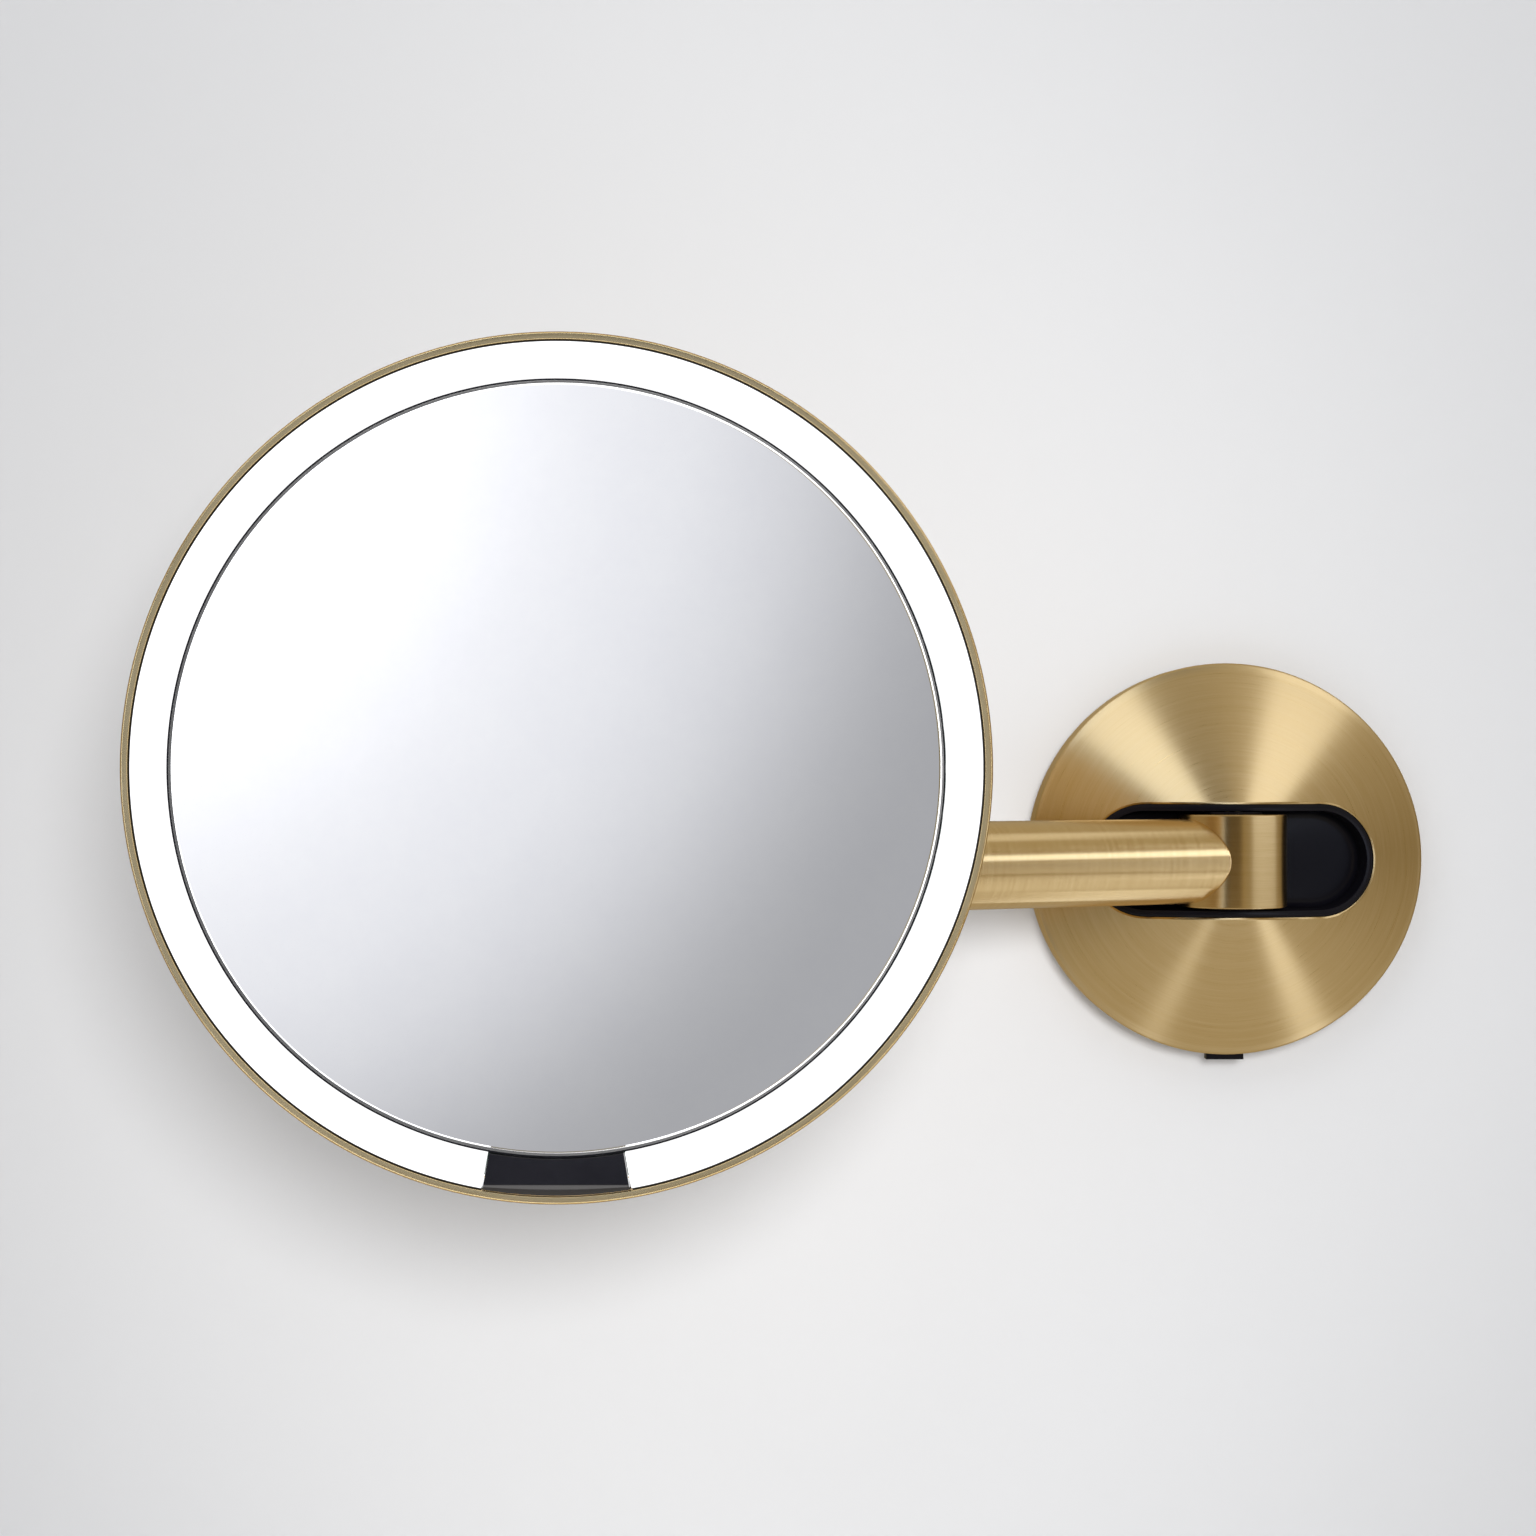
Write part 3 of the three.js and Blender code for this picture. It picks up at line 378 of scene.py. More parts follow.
def new_group(name, inputs, outputs):
    tree = bpy.data.node_groups.new(name, "ShaderNodeTree")
    for label, value in inputs.items():
        kind = "NodeSocketColor" if isinstance(value, tuple) else "NodeSocketFloat"
        socket = tree.interface.new_socket(name=label, in_out="INPUT", socket_type=kind)
        socket.default_value = value
    for label, kind in outputs.items():
        tree.interface.new_socket(name=label, in_out="OUTPUT", socket_type="NodeSocket" + kind)
    return tree, tree.nodes.new("NodeGroupInput").outputs, tree.nodes.new("NodeGroupOutput").inputs


# %% Turning marks: strokes that run round the local Z axis
marks, given, result = new_group(
    "Turning marks",
    {"Across": 900.0, "Around": 3.0, "Darkest": (0.5, 0.36, 0.15, 1), "Lightest": (0.9, 0.7, 0.4, 1),
     "Smoothest": 0.25, "Roughest": 0.4},
    {"Color": "Color", "Roughness": "Float", "Height": "Float"},
)
x, y, z = apart(marks, place_on_piece(marks))
radius = calculate(marks, "MAXIMUM", distance_from_axis(marks, x, y), 1e-5)
across_marks = calculate(marks, "SUBTRACT", radius, z)
stroke = add_node(marks, "ShaderNodeCombineXYZ")
for i, value in enumerate((x, y)):
    round_axis = calculate(marks, "DIVIDE", value, radius)
    feed(marks, stroke.inputs[i], calculate(marks, "MULTIPLY", round_axis, given["Around"]))
feed(marks, stroke.inputs[2], calculate(marks, "MULTIPLY", across_marks, given["Across"]))
fine = noise(marks, stroke.outputs[0], 1.0, 3.0, 0.65)
broad = noise(marks, stroke.outputs[0], 0.16, 2.0, 0.5)
mixed = share_of(marks, fine, broad, 0.35)
contrast = calculate(marks, "MULTIPLY", calculate(marks, "SUBTRACT", mixed, 0.32), 2.8, clamp=True)
feed(marks, result["Color"], blend_colours(marks, contrast, given["Darkest"], given["Lightest"]))
feed(marks, result["Roughness"], between(marks, given["Smoothest"], given["Roughest"], contrast))
feed(marks, result["Height"], contrast)
print("group", marks.name)

# %% [markdown]
# Moulded plastic and foam share a second effect: a fine grain that breaks up the gloss, over a slow
# change of tone like the flow of the plastic or a trace of dust. One group makes both.

# %% Fine grain: moulded plastic, foam and cast surfaces
grain, given, result = new_group(
    "Fine grain",
    {"Grain size": 0.3, "Darkest": (0.01, 0.01, 0.012, 1), "Lightest": (0.02, 0.02, 0.024, 1),
     "Smoothest": 0.4, "Roughest": 0.55},
    {"Color": "Color", "Roughness": "Float", "Height": "Float"},
)
place = place_on_piece(grain)
grains = noise(grain, place, calculate(grain, "DIVIDE", 1 / MM, given["Grain size"]), 2.0, 0.6)
flow = noise(grain, place, 45.0, 3.0, 0.55)
tone = share_of(grain, grains, flow, 0.65)
contrast = calculate(grain, "MULTIPLY", calculate(grain, "SUBTRACT", tone, 0.3), 2.5, clamp=True)
feed(grain, result["Color"], blend_colours(grain, contrast, given["Darkest"], given["Lightest"]))
feed(grain, result["Roughness"], between(grain, given["Smoothest"], given["Roughest"], contrast))
feed(grain, result["Height"], grains)
print("group", grain.name)


def new_material(name):
    material = bpy.data.materials.new(name)
    material.use_nodes = True
    return material, material.node_tree, material.node_tree.nodes["Principled BSDF"]


def finish(name, group, tones, gloss, bump, sockets, values):
    """A Principled material whose colour, roughness and bump come from a group with its own values.

    Tones are the darkest and lightest colours, gloss the lowest and highest roughness, and the bump is a
    height in millimetres.
    """
    material, tree, shader = new_material(name)
    for socket, value in sockets.items():
        shader.inputs[socket.replace("_", " ")].default_value = value
    values = {**values, "Darkest": (*tones[0], 1), "Lightest": (*tones[1], 1),
              "Smoothest": gloss[0], "Roughest": gloss[1]}
    effect = add_node(tree, "ShaderNodeGroup", values, node_tree=group)
    feed(tree, shader.inputs["Base Color"], effect.outputs["Color"])
    feed(tree, shader.inputs["Roughness"], effect.outputs["Roughness"])
    relief = {"Distance": bump * MM, "Strength": 1.0, "Height": effect.outputs["Height"]}
    feed(tree, shader.inputs["Normal"], add_node(tree, "ShaderNodeBump", relief).outputs["Normal"])
    return material


def brushed(name, tones, across, around, gloss, bump, anisotropy):
    """Metal brushed round the local Z axis: highlights spread across the strokes."""
    sockets = {"Metallic": 1.0, "Anisotropic": anisotropy, "Anisotropic_Rotation": 0.25}
    material = finish(name, marks, tones, gloss, bump, sockets, {"Across": across, "Around": around})
    tree = material.node_tree
    tangent = add_node(tree, "ShaderNodeTangent", direction_type="RADIAL", axis="Z")
    feed(tree, tree.nodes["Principled BSDF"].inputs["Tangent"], tangent.outputs[0])
    return material


def grained(name, slot, tones, size, gloss, bump, **sockets):
    """Plastic, foam, glass or cast metal with a fine grain, whose size is in millimetres."""
    return finish(name, grain, tones, gloss, bump, sockets, {"Grain size": size})


# %% The brass finishes
BRASS = ((0.74, 0.53, 0.24), (0.84, 0.63, 0.32))
plate_brass = brushed("spun brass", BRASS, 5200, 4, (0.27, 0.34), 0.001, 0.9)
tube_brass = brushed("drawn brass tube", BRASS, 4200, 1.6, (0.2, 0.26), 0.0006, 0.9)
barrel_brass = brushed("turned brass", BRASS, 5200, 2, (0.3, 0.36), 0.0006, 0.75)
rim_brass = brushed("rolled brass rim", BRASS, 2500, 8, (0.2, 0.28), 0.0006, 0.6)
cover_brass = brushed("spun brass cover", BRASS, 3800, 4, (0.3, 0.38), 0.001, 0.85)
cast_brass = grained("satin cast brass", "brushed_brass", BRASS, 0.5, (0.3, 0.42), 0.004, Metallic=1.0)

# %% Steel, plastics and the rest
STEEL = ((0.38, 0.39, 0.41), (0.62, 0.63, 0.64))
steel = brushed("zinc-plated steel", STEEL, 2400, 5, (0.22, 0.42), 0.003, 0.5)
zinc_sheet = grained(
    "bright zinc sheet", "zinc_steel", ((0.42, 0.43, 0.45), (0.58, 0.59, 0.60)), 2.0,
    (0.28, 0.42), 0.006, Metallic=1.0)
black_plastic = grained(
    "satin black plastic", "black_plastic", ((0.0045, 0.0043, 0.0072), (0.0062, 0.006, 0.0095)), 0.35,
    (0.30, 0.42), 0.004, Specular_IOR_Level=0.22)
black_gloss = grained(
    "smoked window", "black_gloss", ((0.014, 0.014, 0.018), (0.02, 0.02, 0.025)), 2.0,
    (0.05, 0.11), 0.0004, Coat_Weight=0.6, Coat_Roughness=0.04)
# Painted light: the carrier is plain white plastic, and its glow stands for the ring's light passing through
# it.
carrier_painted_glow = grained(
    "carrier plastic with painted glow", "white_plastic", ((0.80, 0.80, 0.79), (0.9, 0.9, 0.89)), 0.5,
    (0.4, 0.55), 0.004, Emission_Color=(1.0, 1.0, 1.0, 1), Emission_Strength=0.95)
bush_plastic = grained(
    "natural acetal bush", "bush_plastic", ((0.62, 0.59, 0.52), (0.74, 0.72, 0.65)), 0.6,
    (0.4, 0.6), 0.004)
foam = grained(
    "closed-cell foam", "foam", ((0.012, 0.012, 0.013), (0.05, 0.05, 0.052)), 0.9, (0.8, 0.95), 0.08)
circuit_board = grained(
    "coated circuit board", "circuit_board", ((0.008, 0.055, 0.03), (0.02, 0.1, 0.055)), 3.0,
    (0.25, 0.4), 0.01)
battery_wrap = grained(
    "battery sleeve", "battery_wrap", ((0.03, 0.05, 0.09), (0.05, 0.075, 0.13)), 1.5, (0.3, 0.45), 0.01)

# %% [markdown]
# The glass is silvered on its back, so it is modelled as a nearly perfect metal. A trace of haze in its
# roughness keeps the reflection from looking like a hole in the picture. The diffuser glows evenly. Where it
# rolls back to the rim its glow is painted dimmer and bluer, as painted shade. A dark band painted at its
# edge is painted shade for the gap beside the rim.

# %% Mirror glass and the lit diffuser
mirror_glass = grained(
    "silvered glass", "mirror_glass", ((0.90, 0.905, 0.93), (0.93, 0.935, 0.95)), 4.0,
    (0.004, 0.02), 0.0, Metallic=1.0)

RING_OUTER = size_mm("light_ring").x / 2
ROLL_START = RING_OUTER - 2.2
ROLL_FADE = 1.5
GAP_SHADE_WIDTH, GAP_SHADE_FADE = 0.45, 0.3
lit_diffuser = grained(
    "lit opal diffuser", "lit_diffuser", ((0.86, 0.87, 0.9), (0.9, 0.91, 0.93)), 1.0,
    (0.45, 0.6), 0.002, Emission_Strength=1.0)
tree = lit_diffuser.node_tree
shader = tree.nodes["Principled BSDF"]
across = distance_from_axis(tree, *apart(tree, place_on_piece(tree))[:2])


def past(start, width):
    """How far a point is past a distance from the axis, from 0 to 1 over a width, in millimetres."""
    beyond = calculate(tree, "SUBTRACT", across, start * MM)
    return calculate(tree, "DIVIDE", beyond, width * MM, clamp=True)


# Painted shade: a dark band in the ring's base colour and its glow stands for the shade in the gap beside
# the rim.
PAINTED_GAP_SHADE = (0.02, 0.02, 0.02, 1)
OPAL = (0.88, 0.89, 0.92, 1)
# Painted shade: where the ring rolls back to the rim it is given a dimmer, bluer glow, as if less lit.
WHITE_GLOW, ROLLED_PAINTED_SHADE = (1.0, 1.0, 1.0, 1), (0.86, 0.88, 0.92, 1)
painted_gap_shade = past(RING_OUTER - GAP_SHADE_WIDTH, GAP_SHADE_FADE)
rolled = blend_colours(tree, past(ROLL_START, ROLL_FADE), WHITE_GLOW, ROLLED_PAINTED_SHADE)
feed(tree, shader.inputs["Emission Color"], blend_colours(tree, painted_gap_shade, rolled, PAINTED_GAP_SHADE))
feed(tree, shader.inputs["Base Color"], blend_colours(tree, painted_gap_shade, OPAL, PAINTED_GAP_SHADE))

# %% [markdown]
# ## Standing in for the plain solids
# A finished piece takes its place from the plain solid that it stands for: the same body, so that it
# moves with the same joint. It gets the finish that each call gives it.

# %% Material, body and slot in one call
def stand_for(made, node, material):
    made.data.materials.clear()
    made.data.materials.append(material)
    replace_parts(made, node)
    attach(made, frame["nodes"][node]["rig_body"])
    print(f"{made.name}: {len(made.data.polygons)} faces, stands for {node}")


# %% [markdown]
# ## Wall plate
# The plate is spun from sheet: a shallow cone that bends slightly over, a tight rolled edge, and a long
# round-ended slot. Rings of points that change from the slot's outline to a circle give a smooth face
# with no cut edges in it, which a boolean would not.

# %% Outlines of the slot and the plate
PLATE_RADIUS = size_mm("wall_plate").x / 2
PLATE_SHEET = 1.2
RIM_BEHIND_AXIS, CROWN_BEFORE_AXIS = 13.0, 11.5
RIM_OUT = AXIS_OUT - RIM_BEHIND_AXIS
CROWN_OUT = AXIS_OUT + CROWN_BEFORE_AXIS
PLATE_BEND = 1.3
SLOT_TO_EDGE = 17.5
SLOT_END = PLATE_RADIUS - SLOT_TO_EDGE
SLOT_TOP = 18.0
SLOT_EDGE = 0.6
PLATE_GAP = 1.5
ROLLED_EDGE = 1.0
POINT_SPACING = 0.7


def plate_face(radius):
    return RIM_OUT + (CROWN_OUT - RIM_OUT) * (1 - (radius / PLATE_RADIUS) ** PLATE_BEND)


def slot_directions():
    """Angles that space points evenly along the slot's outline."""
    straight = SLOT_END - SLOT_TOP
    count_line, count_arc = round(2 * straight / POINT_SPACING), round(pi * SLOT_TOP / POINT_SPACING)
    arc = [(straight + SLOT_TOP * cos(a), SLOT_TOP * sin(a))
           for a in (-pi / 2 + pi * i / count_arc for i in range(count_arc))]
    line = [(straight - 2 * straight * i / count_line, SLOT_TOP) for i in range(count_line)]
    half = arc + line
    points = half + [(-px, -py) for px, py in half]
    return [atan2(py, px) for px, py in points]


DIRECTIONS = slot_directions()


def slot_radius(angle, inset):
    """Distance from the centre to the slot's outline, moved inwards by inset."""
    height, straight = SLOT_TOP - inset, SLOT_END - SLOT_TOP
    ux, uy = abs(cos(angle)), abs(sin(angle))
    if uy > 1e-9 and height / uy * ux <= straight:
        return height / uy
    return straight * ux + sqrt(height * height - (straight * uy) ** 2)


def slot_ring(inset, drop=None, level=None, lip=None):
    """The slot's outline, at a depth under the plate's face or at one level.

    A lip takes the height of the face where the lip starts, so that it faces straight out.
    """
    ring = []
    for angle in DIRECTIONS:
        reach = slot_radius(angle, inset)
        face = plate_face(reach if lip is None else slot_radius(angle, lip))
        z = face - drop if level is None else level
        ring.append(polar(reach, angle, z))
    return ring


def plate_ring(radius, level):
    return [polar(radius, angle, level) for angle in DIRECTIONS]


def ring_between(share, drop, inset, outer):
    """A ring on the plate's face, part of the way from the slot to the edge."""
    ring = []
    for angle in DIRECTIONS:
        start = slot_radius(angle, inset)
        reach = start + (outer - start) * share
        ring.append(polar(reach, angle, plate_face(reach) - drop))
    return ring


# %% The spun plate
FACE_STEPS = 22


def spun_plate():
    edge = PLATE_RADIUS - ROLLED_EDGE
    inside = PLATE_RADIUS - PLATE_SHEET
    rings = [slot_ring(0, drop=PLATE_SHEET), slot_ring(0, drop=0.12, lip=-SLOT_EDGE),
             slot_ring(-0.06, drop=0.03, lip=-SLOT_EDGE)]
    shares = [0, 0.004] + [i / FACE_STEPS for i in range(1, FACE_STEPS + 1)]
    rings += [ring_between(share, 0, -SLOT_EDGE, edge) for share in shares]
    face_end = plate_face(edge)
    for turn in (18, 36, 54, 72, 90):
        a = radians(turn)
        rings.append(plate_ring(edge + ROLLED_EDGE * sin(a), face_end - ROLLED_EDGE * (1 - cos(a))))
    rings += [
        plate_ring(PLATE_RADIUS, PLATE_GAP + 0.3),
        plate_ring(PLATE_RADIUS - 0.3, PLATE_GAP),
        plate_ring(inside, PLATE_GAP),
    ]
    under = [ring_between(i / 8, PLATE_SHEET, 0, inside) for i in range(8, 0, -1)]
    return to_object("spun_wall_plate", skin(rings + under), BASE)


TAB_LOW, TAB_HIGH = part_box("release_tab")
TAB_HALF = (TAB_HIGH.x - TAB_LOW.x) / 2 / MM
TAB_OUT = (-TAB_HIGH.y / MM, -TAB_LOW.y / MM)
TAB_BACK = TAB_OUT[1] - 5.0
TAB_ROOM = 0.3
tab_window = block(
    "tab window",
    (-TAB_HALF - TAB_ROOM, TAB_HALF + TAB_ROOM),
    (-PLATE_RADIUS - 2, -PLATE_RADIUS + 6),
    (TAB_BACK - TAB_ROOM, TAB_OUT[1] + TAB_ROOM),
    0.6, BASE,
)
wall_plate = boolean(spun_plate(), [tab_window], "DIFFERENCE")
stand_for(wall_plate, "wall_plate", plate_brass)

# %% [markdown]
# ## Pocket liner
# A black moulding fills the slot: a narrow ledge just under the brass edge, then a pocket that the arm's
# barrel turns in. The ledge follows the cone, so it uses the same rings as the plate.

# %% The liner
LEDGE = 2.2
LINER_WALL = 1.5
liner_low, liner_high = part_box("pocket_liner")
LINER_BACK = -liner_high.y / MM
POCKET_FLOOR = LINER_BACK + 1.7
FLANGE_RADIUS = (liner_high.x - liner_low.x) / 2 / MM
FLOOR_SWEEP = 3.0


LINER_TOP = PLATE_SHEET + 0.35
LEDGE_PROFILE = [
    (-LINER_WALL, LINER_TOP), (0.12, LINER_TOP), (0.12, 0.75), (0.2, 0.52), (0.45, 0.42), (1.3, 0.62),
    (LEDGE - 0.35, 0.85), (LEDGE - 0.08, 1.0), (LEDGE, 1.3),
]


def moulded_liner():
    flange = LINER_BACK + 2.5
    rings = [plate_ring(0, LINER_BACK), plate_ring(FLANGE_RADIUS, LINER_BACK),
             plate_ring(FLANGE_RADIUS, flange), slot_ring(-LINER_WALL, level=flange)]
    rings += [slot_ring(inset, drop=drop) for inset, drop in LEDGE_PROFILE]
    rings.append(slot_ring(LEDGE, level=POCKET_FLOOR + FLOOR_SWEEP))
    for turn in (30, 60, 90):
        inwards = FLOOR_SWEEP * (1 - cos(radians(turn)))
        above = FLOOR_SWEEP * (1 - sin(radians(turn)))
        rings.append(slot_ring(LEDGE + inwards, level=POCKET_FLOOR + above))
    rings.append(plate_ring(0, POCKET_FLOOR))
    return to_object("moulded_pocket_liner", skin(rings), BASE)


stand_for(moulded_liner(), "pocket_liner", black_plastic)

# %% [markdown]
# ## Release tab
# A small black latch comes out at the bottom of the plate. Pushing it up frees the base from its wall
# bracket. Its foot has three shallow grip ribs.

# %% The tab
tab_span = (TAB_LOW.z / MM, TAB_HIGH.z / MM)
UPRIGHT_BASE = standing((barrel_axis.x, 0, barrel_axis.z), (1, 0, 0), UP)
tab = block(
    "latch_release_tab", (-TAB_HALF, TAB_HALF), (-TAB_OUT[1], -TAB_BACK), tab_span, 0.8, UPRIGHT_BASE)
NOSE_HALF, NOSE_HEIGHT = 4.0, 2.4
nose = block("nose", (-NOSE_HALF, NOSE_HALF), (-TAB_BACK - 0.5, TAB_HIGH.y / MM),
             (tab_span[1] - NOSE_HEIGHT, tab_span[1]), 0.3, UPRIGHT_BASE)
GROOVE_HALF = 0.35
grooves = []
for depth in (1.3, 2.5, 3.7):
    groove_y = -TAB_OUT[1] + depth
    grooves.append(block(
        "groove", (-TAB_HALF + 1.4, TAB_HALF - 1.4), (groove_y - GROOVE_HALF, groove_y + GROOVE_HALF),
        (tab_span[0] - 1, tab_span[0] + 0.5), 0.15, UPRIGHT_BASE))
boolean(tab, [nose], "UNION")
boolean(tab, grooves, "DIFFERENCE")
stand_for(bevelled(tab, 0.25), "release_tab", black_plastic)

# %% [markdown]
# ## Arm
# The arm's barrel turns on a pin in the pocket. The outer tube meets it in a saddle: every point of the
# tube's end stops where it touches the barrel, so the end is a curve and not a flat cut.

# %% The barrel
BARREL_RADIUS = reach_mm("arm_barrel", barrel_axis, -arm_direction)[1]
BARREL_TOP = size_mm("arm_barrel").z / 2
BORE = size_mm("hinge_upper_bush").x / 2 + 0.3


def barrel_profile(radius, top, bore, edge):
    return rounded([(bore, -top, 0.3), (radius, -top, edge), (radius, top, edge), (bore, top, 0.3)])


arm_barrel = turned("turned_arm_barrel", barrel_profile(BARREL_RADIUS, BARREL_TOP, BORE, 0.5), BARREL)
stand_for(arm_barrel, "arm_barrel", barrel_brass)


# %% Tubes with one saddle end
TUBE_WALL = 1.5


def saddle(angle, radius, cope):
    return sqrt(max(cope * cope - (radius * sin(angle)) ** 2, 0))


def coped_tube(name, radius, cope, base, tip):
    """A tube along local Z from a saddle round an upright barrel at base to a square end at tip."""
    way = 1 if tip > base else -1
    bore = radius - TUBE_WALL
    turns = [2 * pi * i / SIDES for i in range(SIDES)]

    def ring(r, rise, at_tip=False):
        if at_tip:
            return [polar(r, a, tip - way * rise) for a in turns]
        return [polar(r, a, base + way * (saddle(a, r, cope) + rise)) for a in turns]

    edge = 0.25
    rings = [ring(bore, 0), ring(radius - edge, 0), ring(radius - edge * 0.6, edge * 0.3),
             ring(radius - edge * 0.5, edge * 0.5), ring(radius, edge * 3), ring(radius, edge * 4)]
    rings += [ring(radius, edge * 1.6, True), ring(radius - edge * 0.5, edge * 0.4, True),
              ring(radius - edge * 1.6, 0, True), ring(bore + edge, 0, True), ring(bore, edge, True)]
    return to_object(name, skin(rings), ARM)


TUBE_RADIUS = size_mm("outer_tube").z / 2
INNER_RADIUS = size_mm("inner_tube").z / 2
TUBE_END = reach_mm("outer_tube", barrel_axis, arm_direction)[1]
INNER_START = reach_mm("inner_tube", barrel_axis, arm_direction)[0]
ARM_LENGTH = (swivel_axis - barrel_axis).length / MM
KNUCKLE_RADIUS = reach_mm("end_knuckle", swivel_axis, arm_direction)[1]
SADDLE_GAP = 0.06
outer_tube = coped_tube("drawn_outer_tube", TUBE_RADIUS, BARREL_RADIUS + SADDLE_GAP, 0, TUBE_END)
stand_for(outer_tube, "outer_tube", tube_brass)
inner_tube = coped_tube(
    "drawn_inner_tube", INNER_RADIUS, KNUCKLE_RADIUS + SADDLE_GAP, ARM_LENGTH, INNER_START)
stand_for(inner_tube, "inner_tube", tube_brass)

# %% The collar at the outer tube's end
COLLAR_RADIUS = size_mm("tube_collar").z / 2
collar_start, collar_end = reach_mm("tube_collar", barrel_axis, arm_direction)
collar = turned("turned_tube_collar", rounded([
    (TUBE_RADIUS + 0.08, collar_start, 0.1), (COLLAR_RADIUS, collar_start, 0.4),
    (COLLAR_RADIUS, collar_end, 0.8), (INNER_RADIUS + 0.3, collar_end, 0.3),
    (INNER_RADIUS + 0.3, TUBE_END + 0.3, 0), (TUBE_RADIUS + 0.08, TUBE_END + 0.3, 0),
]), ARM)
stand_for(collar, "tube_collar", barrel_brass)

# %% [markdown]
# ## Swivel
# At the arm's end a knuckle holds an upright post. The post carries a lug, and a pin through the lug
# lets the head tilt.

# %% The knuckle and the post
KNUCKLE_TOP = size_mm("end_knuckle").z / 2
knuckle_bore = size_mm("knuckle_upper_bush").x / 2 + 0.3
knuckle_profile = barrel_profile(KNUCKLE_RADIUS, KNUCKLE_TOP, knuckle_bore, 0.9)
knuckle = turned("turned_end_knuckle", knuckle_profile, SWIVEL)
stand_for(knuckle, "end_knuckle", barrel_brass)

post_low, post_high = (corner - swivel_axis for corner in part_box("swivel_post"))
LUG_TOP = post_high.z / MM
HEAD_RISE = (tilt_axis - swivel_axis).z / MM
LUG_RADIUS = LUG_TOP - HEAD_RISE
LUG_HALF = 7.0
POST_RADIUS, NECK_RADIUS = 5.0, 7.0
FLANGE_LOW = KNUCKLE_TOP + 0.3
FLANGE_HIGH = FLANGE_LOW + 2.5
post = turned("turned_swivel_post", rounded([
    (0, post_low.z / MM, 0), (POST_RADIUS, post_low.z / MM, 0.6), (POST_RADIUS, FLANGE_LOW, 0),
    (POST_RADIUS + 4, FLANGE_LOW, 0.5), (POST_RADIUS + 4, FLANGE_HIGH, 0.8),
    (NECK_RADIUS - 0.6, FLANGE_HIGH, 1.2), (NECK_RADIUS - 0.6, HEAD_RISE - 3, 0), (0, HEAD_RISE - 3, 0),
]), SWIVEL, 96)
ACROSS = standing(tilt_axis, (0, 1, 0), (1, 0, 0))
lug_outline = [(LUG_RADIUS, -LUG_RADIUS)] + half_circle(LUG_RADIUS) + [(-LUG_RADIUS, -LUG_RADIUS)]
lug = bevelled(prism("lug", lug_outline, -LUG_HALF, LUG_HALF, ACROSS), 0.7)
boolean(post, [lug], "UNION")
stand_for(post, "swivel_post", cast_brass)

# %% [markdown]
# ## Head
# The head is a stack of round pieces. From the front: the glass in its thin black ring, the lit opal
# diffuser with the dark sensor window at the bottom, and a slim brass rim. Depths are behind the glass.

# %% The glass and its thin black ring
GLASS_RADIUS = size_mm("mirror_glass").x / 2
glass = turned("silvered_mirror_glass", [
    (0, 0), (GLASS_RADIUS - 0.4, 0), (GLASS_RADIUS, -0.4), (GLASS_RADIUS, -3), (0, -3)
], HEAD, 256)
stand_for(glass, "mirror_glass", mirror_glass)

BEZEL_RADIUS = size_mm("glass_bezel").x / 2
BEZEL_FRONT, BEZEL_BACK = depths_mm("glass_bezel")
BEZEL_BORE = BEZEL_RADIUS - 0.45
bezel = turned("thin_glass_bezel", rounded([
    (BEZEL_BORE, -BEZEL_FRONT, 0.15), (BEZEL_RADIUS, -BEZEL_FRONT, 0.15),
    (BEZEL_RADIUS, -BEZEL_BACK, 0), (BEZEL_BORE, -BEZEL_BACK, 0),
]), HEAD, 256)
stand_for(bezel, "glass_bezel", black_plastic)

# %% [markdown]
# The white carrier behind the glass has a painted glow, which stands for the ring's light shining through
# it. Its lip shows as a thin white line in the open channel between the glass and the black ring.

# %% The carrier, its lip and its four posts
CARRIER_FRONT, CARRIER_BACK = 5.5, 8.0
LIP_FRONT, POST_END = depths_mm("mirror_carrier")
LIP_RADIUS = BEZEL_BORE - 0.3
LIP_BORE = GLASS_RADIUS - 3
CARRIER_RADIUS = size_mm("mirror_carrier").x / 2
FLANGE_FRONT = BEZEL_BACK + 0.3
FLANGE_BACK = FLANGE_FRONT + 1.8
carrier = turned("moulded_carrier", rounded([
    (0, -CARRIER_FRONT, 0), (LIP_BORE, -CARRIER_FRONT, 0), (LIP_BORE, -LIP_FRONT, 0.3),
    (LIP_RADIUS, -LIP_FRONT, 0.08), (LIP_RADIUS, -FLANGE_FRONT, 0.3), (CARRIER_RADIUS, -FLANGE_FRONT, 0.2),
    (CARRIER_RADIUS, -FLANGE_BACK, 0.2), (LIP_RADIUS - 2, -FLANGE_BACK, 0.3),
    (LIP_RADIUS - 2, -CARRIER_BACK, 0.6), (0, -CARRIER_BACK, 0),
]), HEAD, 256)
PILOT, POST_SIDE = 1.7, 4.0
posts = []
for number in range(1, 5):
    spot = centre(f"cover_screw_{number}")
    profile = rounded([(PILOT, -CARRIER_BACK + 1, 0), (POST_SIDE, -CARRIER_BACK + 1, 0),
                       (POST_SIDE, -POST_END, 0.3), (PILOT, -POST_END, 0.2)])
    place = standing((spot.x, glass_y, spot.z), (1, 0, 0), ROOM)
    posts.append(turned("carrier post", profile, place, 48))
boolean(carrier, posts, "UNION")
stand_for(carrier, "mirror_carrier", carrier_painted_glow)


